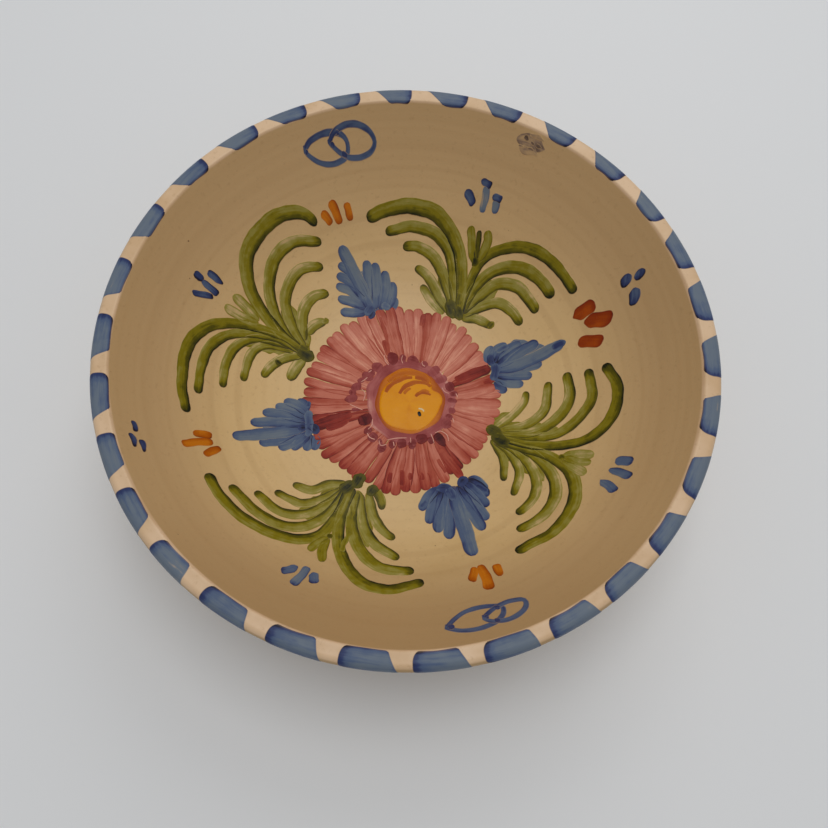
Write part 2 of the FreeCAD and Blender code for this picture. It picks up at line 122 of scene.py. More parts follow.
def hand_shape(x, y, z):
    """The small unevenness of a hand thrown rim, none of it at the foot; mm in, metres out."""
    around = np.arctan2(y, x)
    grow = np.clip((z - TRUE_BELOW) / WANDER_RISE, 0, 1) ** 2
    swell = 0.25 * np.cos(2 * around + 1.7) + 0.45 * np.cos(around) + 0.15 * np.cos(3 * around + 1.2)
    swell = grow * (swell - 0.3)
    sway = 0.3 * np.cos(2 * around - 0.9) + 0.22 * np.cos(3 * around + 0.4)
    sway = grow * (sway + 0.08 * np.cos(5 * around + 1))
    return np.stack([x + swell * np.cos(around), y + swell * np.sin(around), z + sway], -1) * MM


def skin(run, around, lift):
    """Places on the dish: `run` mm along the profile, `around` radians, `lift` mm off the glaze."""
    run, around, lift = np.broadcast_arrays(run, around, lift)
    radius, height, out, up = (np.interp(run, skin_run, skin_rows[:, k]) for k in range(4))
    rings = RING_HEIGHT * np.sin(run * 1.2 + 0.8 * np.sin(around + run / 40)) * np.clip(run / 60 - 0.5, 0, 1)
    dents = DENT_DEPTH * np.sin(2 * around + run / 23) * np.sin(3 * around - run / 31 + 1)
    dents = dents + 0.04 * np.sin(7 * around + run / 9) * np.sin(5 * around - run / 13)
    lift = lift + rings + dents * np.clip(run / 30, 0, 1)
    radius = radius + out * lift
    return hand_shape(radius * np.cos(around), radius * np.sin(around), height + up * lift)


def make_piece(name, places, faces, marks=None):
    """A smooth closed mesh object from places in metres; `marks` are values kept at each place."""
    mesh = bpy.data.meshes.new(name)
    mesh.from_pydata(np.asarray(places).reshape(-1, 3).tolist(), [], faces)
    for word, values in (marks or {}).items():
        kept = mesh.attributes.new(word, "FLOAT", "POINT")
        kept.data.foreach_set("value", np.ravel(values).astype(np.float32))
    tidy = bmesh.new()
    tidy.from_mesh(mesh)
    bmesh.ops.recalc_face_normals(tidy, faces=tidy.faces)
    tidy.to_mesh(mesh)
    tidy.free()
    mesh.shade_smooth()
    piece = bpy.data.objects.new(name, mesh)
    bpy.context.scene.collection.objects.link(piece)
    return piece


def turned(name, rings, through_axis=True):
    """A closed lathe form from rings of places; it ends on the axis, or returns to its first ring."""
    rows, turns = rings.shape[:2]
    bands = rows - 1 if through_axis else rows
    first, second = np.meshgrid(np.arange(bands), np.arange(turns), indexing="ij")
    below, beside = (first + 1) % rows, (second + 1) % turns
    corners = [first * turns + second, first * turns + beside, below * turns + beside, below * turns + second]
    faces = np.stack(corners, -1).reshape(-1, 4).tolist()
    places = rings.reshape(-1, 3)
    if through_axis:
        top, base = len(places), len(places) + 1
        places = np.vstack([places, rings[0].mean(0), rings[-1].mean(0)])
        faces += [[top, (k + 1) % turns, k] for k in range(turns)]
        last = (rows - 1) * turns
        faces += [[base, last + k, last + (k + 1) % turns] for k in range(turns)]
    return make_piece(name, places, faces)


def linear(value):
    """One colour channel, 0 to 255 as seen, turned into the share of light that it gives back."""
    value = value / 255
    return value / 12.92 if value <= 0.04045 else ((value + 0.055) / 1.055) ** 2.4


# How bright a white thing looks in this light; every finish below is told as it looks there.
SOFT_LIGHT = 0.86


def fired(red, green, blue):
    """A finish named by how it looks, out of 255, under the soft light that the dish stands in."""
    return tuple(min(0.95, linear(v) / SOFT_LIGHT) for v in (red, green, blue)) + (1.0,)


class Finish:
    """A material with short words for the nodes that a potter's finish needs."""

    def __init__(self, name):
        self.material = bpy.data.materials.new(name)
        self.material.use_nodes = True
        self.tree = self.material.node_tree
        self.shader = self.tree.nodes["Principled BSDF"]
        self.place = self.node("ShaderNodeTexCoord").outputs["Object"]

    def node(self, kind, **settings):
        made = self.tree.nodes.new(kind)
        for word, value in settings.items():
            setattr(made, word, value)
        return made

    def feed(self, socket, value):
        if isinstance(value, bpy.types.NodeSocket):
            self.tree.links.new(value, socket)
        else:
            socket.default_value = value

    def mark(self, word):
        return self.node("ShaderNodeAttribute", attribute_name=word).outputs["Fac"]

    def sum(self, kind, first, second=None, third=None):
        made = self.node("ShaderNodeMath", operation=kind)
        for socket, value in zip(made.inputs, (first, second, third)):
            if value is not None:
                self.feed(socket, value)
        return made.outputs[0]

    def cloud(self, scale, detail=3.0, rough=0.55, where=None, **settings):
        made = self.node("ShaderNodeTexNoise", **settings)
        made.inputs["Scale"].default_value = scale
        made.inputs["Detail"].default_value = detail
        made.inputs["Roughness"].default_value = rough
        if settings.get("noise_dimensions") == "1D":
            self.feed(made.inputs["W"], where)
        else:
            self.feed(made.inputs["Vector"], where or self.place)
        return made.outputs["Fac"]

    def span(self, value, low, high, to_low=0.0, to_high=1.0, smooth=False):
        made = self.node("ShaderNodeMapRange", interpolation_type="SMOOTHSTEP" if smooth else "LINEAR")
        for socket, number in zip(made.inputs, (value, low, high, to_low, to_high)):
            self.feed(socket, number)
        return made.outputs[0]

    def mix(self, share, first, second, blend="MIX"):
        made = self.node("ShaderNodeMix", data_type="RGBA", blend_type=blend)
        self.feed(made.inputs["Factor"], share)
        self.feed(made.inputs[6], first)
        self.feed(made.inputs[7], second)
        return made.outputs[2]

    def ramp(self, value, stops):
        made = self.node("ShaderNodeValToRGB")
        bar = made.color_ramp
        bar.interpolation = "EASE"
        while len(bar.elements) < len(stops):
            bar.elements.new(0.5)
        for element, (place, colour) in zip(bar.elements, stops):
            element.position = place
            element.color = colour
        self.feed(made.inputs[0], value)
        return made.outputs[0]

    def spot(self):
        """Distance from the axis, height above the table, and how far towards the back."""
        parts = self.node("ShaderNodeSeparateXYZ")
        self.feed(parts.inputs[0], self.place)
        right, back, height = parts.outputs
        flat = self.sum("ADD", self.sum("MULTIPLY", right, right), self.sum("MULTIPLY", back, back))
        return self.sum("SQRT", flat), height, back

    def bump(self, height, strength, depth):
        made = self.node("ShaderNodeBump")
        made.inputs["Strength"].default_value = strength
        made.inputs["Distance"].default_value = depth * MM
        self.feed(made.inputs["Height"], height)
        self.feed(self.shader.inputs["Normal"], made.outputs[0])


def bare_clay(name):
    """Fired red clay with turning lines, grit and the pale bloom of ash and slip."""
    finish = Finish(name)
    radius = finish.spot()[0]
    lines = finish.cloud(900, 3, where=radius, noise_dimensions="1D")
    patches = finish.cloud(28, 4)
    grit = finish.cloud(1300, 2, 0.7)
    clay = finish.mix(finish.span(patches, 0.3, 0.7), fired(146, 96, 66), fired(176, 122, 86))
    clay = finish.mix(finish.span(lines, 0.45, 0.75, 0, 0.45), clay, fired(112, 68, 44))
    clay = finish.mix(finish.span(grit, 0.62, 0.74, 0, 0.5), clay, fired(205, 172, 140))
    bloom = finish.span(finish.cloud(45, 3, 0.6), 0.56, 0.7, 0, 0.45)
    clay = finish.mix(bloom, clay, fired(202, 170, 134))
    finish.feed(finish.shader.inputs["Base Color"], clay)
    finish.feed(finish.shader.inputs["Roughness"], finish.span(patches, 0.2, 0.8, 0.78, 0.94))
    finish.bump(finish.sum("ADD", finish.sum("MULTIPLY", lines, 1.4), grit), 0.55, 0.35)
    return finish.material


clay_finish = bare_clay("bare_clay_finish")
TURNS = 480
around = np.linspace(0, 2 * math.pi, TURNS, endpoint=False)
clay_run = np.linspace(AXIS_GAP, UNDERSIDE - AXIS_GAP, 260)
clay_body = turned("clay_body", skin(clay_run[:, None], around[None, :], -GLAZE_THICK))
clay_body.data.materials.append(clay_finish)
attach(clay_body, "root")
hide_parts("bowl_body")

# ---------------------------------------------------------------- foot ring
# A low ring of the same clay, thrown on and turned with the underside, that the dish stands on.
# It stays unglazed: its tread is worn smooth and its corners are softly rounded.
foot_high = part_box("foot_ring")[1]
FOOT_OUT = foot_high.x / MM
FOOT_IN = 57.0
FOOT_ROUND = 1.6
UNDERCUT = 0.6


def foot_profile():
    """Radius and height, mm, round the ring's own cross-section."""
    top = foot_high.z / MM
    middle = (FOOT_OUT + FOOT_IN) / 2
    corners = []
    for centre, start in ((FOOT_OUT - FOOT_ROUND, 0.0), (FOOT_IN + FOOT_ROUND, -RIGHT_ANGLE)):
        for angle in np.linspace(start, start - RIGHT_ANGLE, 9):
            corners.append((centre + FOOT_ROUND * math.cos(angle), FOOT_ROUND + FOOT_ROUND * math.sin(angle)))
    climb = np.linspace(0.08, 0.92, 14)
    inner = [(FOOT_IN - UNDERCUT * t**2, FOOT_ROUND + (top - FOOT_ROUND) * t) for t in climb]
    outer = [(FOOT_OUT, FOOT_ROUND + (top - FOOT_ROUND) * t) for t in climb[::-1]]
    return np.array(corners + inner + [(middle, top - 0.3)] + outer)


foot_rows = foot_profile()
foot_wave = 0.12 * np.sin(3 * around + 1) + 0.07 * np.sin(8 * around)
foot_x = foot_rows[:, :1] + foot_wave[None, :] * np.clip(foot_rows[:, 1:] / 4, 0, 1)
foot_z = np.broadcast_to(foot_rows[:, 1:], foot_x.shape)
foot_places = hand_shape(foot_x * np.cos(around), foot_x * np.sin(around), foot_z)
foot = turned("foot_ring_turned", foot_places, through_axis=False)
foot.data.materials.append(bare_clay("foot_clay_finish"))
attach(foot, "root")
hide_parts("foot_ring")

# ---------------------------------------------------------------- glaze
# A thin skin of cream slip and clear satin glaze over the inside, the lip and the outside wall.
# It is dipped and wiped back before firing, so it ends in a soft uneven edge short of the foot.
STOP_RADIUS = 68.0
outer_start = inside_rows + int(np.argmax(skin_rows[inside_rows:, 0]))
stop_run = float(np.interp(-STOP_RADIUS, -skin_rows[outer_start:, 0], skin_run[outer_start:]))


def glaze_colour_with_painted_shade(finish):
    """Cream slip seen through the glaze: patchy, paler and pinker on the lip, with faint rings and dark
    specks. Painted shade darkens it up the wall and on the front wall, and painted light lightens the back
    wall.
    """
    radius, height, back = finish.spot()
    broad = finish.cloud(7, 3, 0.5)
    patchy = finish.cloud(38, 4, 0.6)
    fine = finish.cloud(420, 3, 0.6)
    rings = finish.cloud(150, 4, 0.5, where=radius, noise_dimensions="1D")
    cream = finish.mix(finish.span(broad, 0.35, 0.65), fired(205, 172, 120), fired(196, 163, 111))
    cream = finish.mix(finish.span(patchy, 0.3, 0.7, 0, 0.55), cream, fired(210, 178, 128))
    # Painted shade: the cream is darkened up the steep wall and left lighter on the floor, as the light
    # falls.
    high = finish.span(height, 0.03, 0.074, smooth=True)
    cream = finish.mix(finish.sum("MULTIPLY", high, 0.9), cream, fired(179, 146, 103))
    # Painted light: the back wall is lightened, as if lit by the window behind.
    cream = finish.mix(finish.span(back, 0.02, 0.13, 0, 0.45, smooth=True), cream, fired(198, 165, 118))
    # Painted shade: the front wall is darkened.
    cream = finish.mix(finish.span(back, -0.07, -0.13, 0, 0.6, smooth=True), cream, fired(160, 128, 86))
    cream = finish.mix(finish.span(rings, 0.5, 0.72, 0, 0.16), cream, fired(158, 124, 80))
    lip = finish.span(height, (LIP_TOP - 1.9) * MM, (LIP_TOP - 0.7) * MM, smooth=True)
    peach = finish.mix(finish.span(patchy, 0.4, 0.65), fired(216, 184, 150), fired(202, 168, 130))
    cream = finish.mix(finish.sum("MULTIPLY", lip, 0.85), cream, peach)
    cream = finish.mix(finish.span(fine, 0.58, 0.78, 0, 0.3), cream, fired(150, 116, 76))
    cells = finish.node("ShaderNodeTexVoronoi", feature="F1")
    cells.inputs["Scale"].default_value = 95
    finish.feed(cells.inputs["Vector"], finish.place)
    split = finish.node("ShaderNodeSeparateColor")
    finish.feed(split.inputs[0], cells.outputs["Color"])
    chosen = finish.sum("GREATER_THAN", split.outputs[0], 0.86)
    specks = finish.sum("MULTIPLY", finish.span(cells.outputs["Distance"], 0.035, 0.055, 0.75, 0.0), chosen)
    return finish.mix(specks, cream, fired(92, 62, 38)), patchy, fine


def cream_glaze(name):
    finish = Finish(name)
    cream, patchy, fine = glaze_colour_with_painted_shade(finish)
    finish.feed(finish.shader.inputs["Base Color"], cream)
    finish.feed(finish.shader.inputs["Roughness"], finish.span(patchy, 0.3, 0.7, 0.3, 0.44))
    finish.shader.inputs["Specular IOR Level"].default_value = 0.3
    finish.bump(finish.sum("ADD", finish.cloud(160, 3), finish.sum("MULTIPLY", fine, 0.25)), 0.25, 0.15)
    return finish.material


glaze_run = np.concatenate([
    np.linspace(AXIS_GAP, 140, 190), np.linspace(140.5, 215, 150), np.linspace(215.8, stop_run, 130),
])
stop_wave = 0.9 * np.sin(5 * around + 0.4) + 0.6 * np.sin(11 * around + 2) + 0.35 * np.sin(23 * around)
near_stop = np.clip((glaze_run - (stop_run - 30)) / 30, 0, 1) ** 2
outer_skin = skin(glaze_run[:, None] + near_stop[:, None] * stop_wave, around[None, :], 0.0)
# The edge of the glaze rolls over: how far past the stop, and how far off the surface.
roll = [(0.35, -0.06), (0.55, -0.22), (0.55, -0.5), (0.3, -0.62)]
rolled_edge = [skin(stop_run + stop_wave + ahead, around, drop) for ahead, drop in roll]
back_run = np.linspace(stop_run - 1, AXIS_GAP, 150)
inner_skin = skin(back_run[:, None], around[None, :], -GLAZE_THICK - 0.1)
glaze = turned("glaze_skin", np.concatenate([outer_skin, np.array(rolled_edge), inner_skin]))
glaze.data.materials.append(cream_glaze("cream_glaze_finish"))
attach(glaze, "root")
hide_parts("glaze_coat")

# ---------------------------------------------------------------- lip strokes
# Thirty short slanting strokes of cobalt blue round the lip, each one touch of a full brush that
# starts round and dark and lifts off in a slanting end, lapping over the outer edge.
PAINT_THICK = 0.1
EDGE_SINK = -0.06
UNDER_SINK = -0.14


def mound(top, under, closed_ring=False):
    """A low closed mound of paint from matching grids of places for its top and its underside."""
    rows, across = top.shape[:2]
    count = rows * across
    lines = rows if closed_ring else rows - 1
    faces = []
    for i in range(lines):
        here, there = i * across, (i + 1) % rows * across
        for j in range(across - 1):
            quad = [here + j, there + j, there + j + 1, here + j + 1]
            faces.append(quad)
            faces.append([count + corner for corner in reversed(quad)])
        for j in (0, across - 1):
            faces.append([here + j, there + j, count + there + j, count + here + j])
    if not closed_ring:
        for i in (0, rows - 1):
            for j in range(across - 1):
                here = i * across + j
                faces.append([here, here + 1, count + here + 1, count + here])
    return np.concatenate([top.reshape(-1, 3), under.reshape(-1, 3)]), faces


class Painting:
    """Strokes gathered into one piece, with what each place needs to know for its colour."""

    def __init__(self):
        self.places, self.faces, self.count = [], [], 0
        self.marks = {word: [] for word in ("load", "along", "across", "touch", "cover")}

    def add(self, top, under, load, along, across, touch, cover, closed_ring=False):
        places, faces = mound(top, under, closed_ring)
        self.faces += [[corner + self.count for corner in face] for face in faces]
        self.places.append(places)
        self.count += len(places)
        for word, value in zip(self.marks, (load, along, across, touch, cover)):
            value = np.broadcast_to(value, top.shape[:2])
            self.marks[word].append(np.tile(value.ravel(), 2))

    def piece(self, name, node, material, slot):
        marks = {word: np.concatenate(values) for word, values in self.marks.items()}
        made = make_piece(name, np.concatenate(self.places), self.faces, marks)
        made.data.materials.append(material)
        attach(made, "root")
        if node:
            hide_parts(node)


def edge_fall(position, soft):
    """0 at both ends of 0..1, rising to 1 within `soft` of them."""
    near = np.minimum(position, 1 - position)
    return np.sqrt(1 - (1 - np.clip(near / soft, 0, 1)) ** 2)


def near(value, spot, reach):
    """1 at the spot, falling softly to nothing within about twice the reach."""
    return np.exp(-((value - spot) / reach) ** 2)


def ease(share):
    """0 to 1 with a soft start and a soft end, held at both."""
    share = np.clip(share, 0, 1)
    return share**2 * (3 - 2 * share)


def brushed(name, stops, thin=0.16, streak=0.5, gloss=(0.3, 0.42), mottle=0.25):
    """Paint under the glaze: dark where it pooled, streaked by the hairs of the brush, and thin
    enough at its lightest for the cream to show. `stops` run from the thinnest to the darkest:
    a share of the load, and the look it has there."""
    finish = Finish(name)
    under, _, fine = glaze_colour_with_painted_shade(finish)
    lay = finish.node("ShaderNodeCombineXYZ")
    finish.feed(lay.inputs[0], finish.sum("MULTIPLY", finish.mark("along"), 0.055))
    finish.feed(lay.inputs[1], finish.sum("MULTIPLY", finish.mark("across"), 0.75))
    finish.feed(lay.inputs[2], finish.sum("MULTIPLY", finish.mark("touch"), 41.0))
    hairs = finish.cloud(1.0, 3, 0.6, where=lay.outputs[0])
    pools = finish.cloud(190, 3, 0.5)
    load = finish.sum("MULTIPLY_ADD", finish.sum("SUBTRACT", hairs, 0.5), streak, finish.mark("load"))
    load = finish.sum("MULTIPLY_ADD", finish.sum("SUBTRACT", pools, 0.5), mottle, load)
    colour = finish.ramp(load, [(share, fired(*look)) for share, *look in stops])
    cover = finish.span(load, thin - 0.16, thin + 0.1, 0.25, 1.0, smooth=True)
    cover = finish.sum("MULTIPLY", cover, finish.mark("cover"))
    colour = finish.mix(cover, under, colour)
    finish.feed(finish.shader.inputs["Base Color"], colour)
    finish.feed(finish.shader.inputs["Roughness"], finish.span(pools, 0.3, 0.7, *gloss))
    finish.shader.inputs["Specular IOR Level"].default_value = 0.14
    finish.bump(finish.sum("MULTIPLY_ADD", hairs, 0.8, finish.sum("MULTIPLY", fine, 0.3)), 0.3, 0.12)
    return finish.material


BLUE_STOPS = [
    (0, 128, 126, 122), (0.3, 100, 110, 122), (0.55, 76, 90, 116), (0.78, 46, 56, 94), (1, 24, 24, 46),
]
lip_blue = brushed("lip_blue_finish", BLUE_STOPS)
lip_random = random.Random(11)
LIP_COUNT = 30
LIP_PITCH = 360 / LIP_COUNT
LIP_FIRST = 1.23
LIP_LENGTH = 8.2
MM_A_DEGREE = 2.6
up_to_lip = inside_rows + 40
lip_corner = float(np.interp(LIP_INSIDE, skin_rows[:up_to_lip, 0], skin_run[:up_to_lip]))
lip_edge = float(skin_run[outer_start])
lip_painting = Painting()
for number in range(LIP_COUNT):
    # Where it sits and how long it is, in degrees round the lip: the hand never spaced them evenly.
    turn = math.radians(number * LIP_PITCH)
    back = math.sin(turn)
    wave = -1.42 * math.sin(turn + 0.1) - 0.65 * math.cos(3 * turn - 0.2) + 0.78 * math.cos(4 * turn + 0.1)
    middle = LIP_FIRST + number * LIP_PITCH + wave + lip_random.uniform(-0.3, 0.3)
    length = LIP_LENGTH - 0.7 * back + lip_random.uniform(-0.7, 0.7)
    slant = 2.4 + 0.8 * back + 2.1 * max(0.0, back) ** 2 + lip_random.uniform(-0.5, 0.6)
    # u runs along the stroke, v across it from inside the dish to below the outer edge.
    u = (1 - np.cos(np.linspace(0, math.pi, 34)))[:, None] / 2
    v = np.concatenate([[0, 0.03], np.linspace(0.08, 0.92, 13), [0.97, 1]])[None, :]
    first_row = lip_corner - 1.9 - 0.6 * math.sin(turn - 0.3) + lip_random.uniform(-0.4, 0.4)
    last_row = lip_edge + lip_random.uniform(0.6, 2.2)
    wiggle = 0.3 * np.sin(u * 5 + number)
    run = first_row + 0.25 * np.sin(u * 4 + 3 * number) * (1 - v) + v * (last_row - first_row + wiggle)
    round_end = (1 - np.sqrt(np.clip(1 - np.abs(2 * v - 1) ** 2.6, 0, 1))) * lip_random.uniform(1.3, 2.1)
    start = middle - length / 2 + round_end
    lift_off = middle + length / 2 - slant / 2 + slant * v + 0.08 * np.sin(v * 6 + number)
    lift_off = lift_off - 0.9 * np.clip((v - 0.9) / 0.1, 0, 1) ** 2
    lift_off = lift_off - 0.7 * np.clip((0.1 - v) / 0.1, 0, 1) ** 2
    degrees = start + u * (lift_off - start)
    rise = edge_fall(u, 0.05) * edge_fall(v, 0.09)
    ridge = 1 + 0.35 * near(v, 0.93, 0.06) + 0.2 * near(v, 0.07, 0.06)
    lift = EDGE_SINK + (PAINT_THICK * ridge - EDGE_SINK) * rise
    edge = np.minimum(np.minimum(u, 1 - u) * length * MM_A_DEGREE, np.minimum(v, 1 - v) * 12)
    load = 0.42 + 0.42 * near(u, 0, 0.16) + 0.38 * near(v, 0.02, 0.09)
    load = load + 0.5 * near(v, 0.97, 0.07) + 0.16 * near(u, 1, 0.05)
    load = load - 0.12 * np.sin(math.pi * v) * u + lip_random.uniform(-0.06, 0.06)
    bearing = np.radians(degrees)
    lip_painting.add(
        skin(run, bearing, lift), skin(run, bearing, UNDER_SINK), load,
        u * length * 2.55, (v - 0.5) * 10, lip_random.random(), ease(edge / 0.5),
    )
lip_painting.piece("lip_strokes_brushed", "lip_strokes", lip_blue, "blue_paint")

# ---------------------------------------------------------------- flower petals
# Sixty brick pink strokes laid side by side round the flower, each pulled inwards from a round
# tip. Colour gathers between them, and a few were given a second, much redder load.
FLOWER = np.array([-1.8, 0.0])
HEART = np.array([2.6, -1.0])


def flowing_line(points):
    """An even line in plan, mm, that flows through a few given points, given as x, y, x, y."""
    p = np.reshape(points, (-1, 2)).astype(float)
    if len(p) == 2:
        middle = p.mean(0) + 0.04 * np.array([p[0][1] - p[1][1], p[1][0] - p[0][0]])
        p = np.array([p[0], middle, p[1]])
    p = np.vstack([2 * p[0] - p[1], p, 2 * p[-1] - p[-2]])
    t = np.linspace(0, 1, 40, endpoint=False)[:, None]
    out = []
    for a, b, c, d in zip(p, p[1:], p[2:], p[3:]):
        square, cube = 2 * a - 5 * b + 4 * c - d, 3 * b - a - 3 * c + d
        out.append(0.5 * (2 * b + (c - a) * t + square * t**2 + cube * t**3))
    line = np.vstack(out + [p[-2][None]])
    run = np.concatenate([[0], np.cumsum(np.hypot(*np.diff(line, axis=0).T))])
    return line, run


def on_dish(x, y, lift):
    """Places on the inside of the dish from plan coordinates, mm."""
    radius = np.hypot(x, y)
    run = np.interp(radius, skin_rows[:inside_rows, 0], skin_run[:inside_rows])
    return skin(run, np.arctan2(y, x), lift)


ACROSS = np.array([-1, -0.95, -0.88, -0.8, -0.62, -0.32, 0, 0.32, 0.62, 0.8, 0.88, 0.95, 1.0])


def brush(painting, points, width, dice, load=0.45, pool=0.45, root=0.75, tip=0.8, root_load=0.25,
          tip_load=0.2, lift=0.0, side=None, thick=PAINT_THICK, ragged=0.16,
          blunt=0.0, pool_wide=0.3, outline=0.2, lean=0.0, tip_reach=1.6, melt=0.0):
    """One brush stroke through the points. Its edge on the inside of the bend holds the most
    colour; `side` (+1 left, -1 right, 0 both) says which edge where the stroke is straight.
    `melt` thins the colour towards every edge, for a touch laid wet into wet."""
    line, run = flowing_line(points)
    total = run[-1]
    ends = min(width * 0.5 * (1 - blunt), total * 0.42)
    bow = (1 - np.cos(np.linspace(0, RIGHT_ANGLE, 8))) * ends
    steps = max(4, int((total - 2 * ends) / 1.1))
    stops = np.concatenate([bow, np.linspace(ends, total - ends, steps + 1)[1:-1], (total - bow)[::-1]])
    x, y = np.interp(stops, run, line[:, 0]), np.interp(stops, run, line[:, 1])
    ahead = np.stack([np.gradient(x, stops), np.gradient(y, stops)], -1)
    ahead /= np.linalg.norm(ahead, axis=1)[:, None]
    heading = np.unwrap(np.arctan2(ahead[:, 1], ahead[:, 0]))
    if side is None:
        bend = heading[-6] - heading[5]
        side = 1 if bend > 0.12 else -1 if bend < -0.12 else 0
    t = stops / total
    half = width / 2 * (root + (1 - root) * ease(t / 0.3)) * (1 - (1 - tip) * ease((t - 0.55) / 0.45))
    nearest = np.minimum(stops, total - stops)
    half = half * np.sqrt(np.clip(1 - (1 - np.clip(nearest / ends, 0, 1)) ** 2, 0.0004, 1))
    waves = [dice.uniform(0, 6.28) for _ in range(6)]
    left = ragged * (np.sin(stops / 2.1 + waves[0]) + 0.6 * np.sin(stops / 0.9 + waves[1]))
    right = ragged * (np.sin(stops / 2.4 + waves[2]) + 0.6 * np.sin(stops / 1.1 + waves[3]))
    calm = np.clip(nearest / 2.5, 0, 1)[:, None]
    v = ACROSS[None, :]
    along, nearest_row = stops[:, None], nearest[:, None]
    uneven = np.clip(v, 0, 1) * left[:, None] + np.clip(v, -1, 0) * right[:, None]
    shift = v * half[:, None] + calm * uneven
    px = x[:, None] - ahead[:, 1:] * shift
    py = y[:, None] + ahead[:, :1] * shift
    rise = edge_fall((v + 1) / 2, 0.1) * np.sqrt(np.clip(nearest / 0.8, 0, 1))[:, None]
    ridge = 1 + 0.25 * near(np.abs(v), 0.8, 0.16)
    base = lift(px, py) if callable(lift) else lift
    height = EDGE_SINK * (1 - rise) + (base + thick * ridge) * rise
    edges = {way: near(v, way * 0.92, pool_wide) for way in (1, -1)}
    pooled = edges[side] if side else 0.7 * np.maximum(edges[1], edges[-1])
    colour = load + pool * pooled * (0.75 + 0.25 * np.sin(along / 6 + waves[4]))
    colour = colour + root_load * near(along, 0, 7)
    colour = colour + tip_load * near(total, along, tip_reach)
    colour = colour + 0.5 * pool * near(nearest_row, 0, 0.9)
    colour = colour + outline * near(np.abs(v), 0.94, 0.1)
    colour = colour + lean * side * v * np.clip(nearest_row / 6, 0, 1)
    colour = colour - melt * (1 - (1 - v**2) * np.clip(nearest_row / ends, 0, 1))
    edge = np.minimum((1 - np.abs(v)) * half[:, None], nearest_row)
    cover = ease(edge / 0.35) if melt == 0 else 1.0
    under = on_dish(px, py, UNDER_SINK)
    painting.add(on_dish(px, py, height), under, colour, along, shift, dice.random(), cover)


def dab(painting, points, width, dice, **how):
    """A touch with no pull in it: no darker root, tip, side or outline unless it is asked for."""
    plain = {"pool": 0.1, "root_load": 0.0, "tip_load": 0.0, "side": 0, "outline": 0.0}
    brush(painting, points, width, dice, **{**plain, **how})


PINK_STOPS = [
    (0, 214, 150, 126), (0.27, 184, 106, 86), (0.5, 158, 70, 50), (0.72, 132, 38, 24), (1, 84, 8, 5),
]
petal_pink = brushed("petal_pink_finish", PINK_STOPS, thin=0.0, streak=0.52, mottle=0.22)
petal_random = random.Random(5)
petal_painting = Painting()
PETALS = 60
# Petals with a second load, by their angle: how much at the inner end and how much at the tip.
RED_PETALS = {108: (0.4, 0.12), 102: (0.16, 0.1), 78: (0.06, 0.3), 24: (0.3, 0.44), 18: (0.08, 0.3),
              198: (0.2, 0.34), 204: (0.42, 0.4), 312: (0.3, 0.3), 306: (0.24, 0.3), 276: (0, 0.24)}
order = list(range(PETALS))
petal_random.shuffle(order)
for place, number in enumerate(order):
    degrees = number * 360 // PETALS
    extra_root, extra_tip = RED_PETALS.get(degrees, (0, 0))
    angle = math.radians(degrees + petal_random.uniform(-0.9, 0.9))
    out = np.array([math.cos(angle), math.sin(angle)])
    swirl = np.array([-out[1], out[0]]) * petal_random.uniform(-1.2, 1.2)
    reach = 55.2 + 1.6 * math.cos(angle - 2.0) + petal_random.uniform(-1.5, 1.5)
    reach += 1.9 * math.exp(-((degrees - 276) / 17) ** 2)
    if 255 < degrees < 290 and number % 2:
        reach += 1.6
    tip = FLOWER + out * reach
    inside = HEART + out * petal_random.uniform(20.5, 23.5)
    path = [tip, (tip + inside) / 2 + swirl, inside + swirl * 0.3]
    warm = 0.12 * (1 - math.sin(angle + 0.3))
    dark_tip = 0.1 + 0.2 * max(0.0, math.cos(angle - math.radians(225)))
    brush(
        petal_painting, path, petal_random.uniform(6.0, 6.9), petal_random,
        load=0.13 + warm + petal_random.uniform(-0.09, 0.1) + (extra_root + extra_tip) / 2,
        pool=0.26, root=0.96, tip=0.5, root_load=dark_tip + extra_tip * 0.4, tip_load=0.08 + extra_root * 0.4,
        side=petal_random.choice((-1, 1)), lift=0.012 * (place % 4), ragged=0.12, pool_wide=0.3, outline=0.2,
        lean=0.08, tip_reach=5.0,
    )
# Redder touches over the petals: angle, distance of both ends, width and load.
SECOND_LOADS = [
    (266, 50, 43, 2.6, 0.72), (274, 51, 41, 3.2, 0.66), (280, 48, 43, 2, 0.7), (287, 49, 44, 2.4, 0.62),
    (108, 52, 30, 2.2, 0.5), (110, 38, 27, 3.4, 0.56), (25, 53, 32, 4.8, 0.78), (16, 52, 47, 3, 0.64),
    (202, 50, 29, 5.6, 0.84), (207, 46, 32, 4, 0.78), (309, 57, 36, 5.4, 0.6), (303, 50, 40, 2.4, 0.52),
    (292, 51, 45, 1.6, 0.6), (80, 54, 46, 3.4, 0.62),
]
for degrees, start, end, width, load in SECOND_LOADS:
    out = np.array([math.cos(math.radians(degrees)), math.sin(math.radians(degrees))])
    bend = np.array([-out[1], out[0]]) * petal_random.uniform(-0.8, 0.8)
    path = [FLOWER + out * start, FLOWER + out * (start + end) / 2 + bend, FLOWER + out * end]
    brush(petal_painting, path, width, petal_random, load=load, pool=0.2, root_load=0.1,
          tip_load=-0.1, lift=0.15, thick=0.04, outline=0.0, melt=0.16)
petal_painting.piece("flower_petals_brushed", "flower_petals", petal_pink, "pink_paint")

# ---------------------------------------------------------------- plum ring
# A band of thin plum colour run round the heart, with thick dark dabs dotted along its outside
# where it meets the petals.
PLUM_STOPS = [
    (0, 210, 156, 138), (0.3, 162, 88, 84), (0.52, 140, 62, 60), (0.76, 108, 26, 24), (1, 64, 2, 5),
]
plum_finish = brushed("plum_ring_finish", PLUM_STOPS, thin=-0.2, streak=0.4, mottle=0.35)
plum_random = random.Random(8)
plum_painting = Painting()
POOL_SINK = -0.05


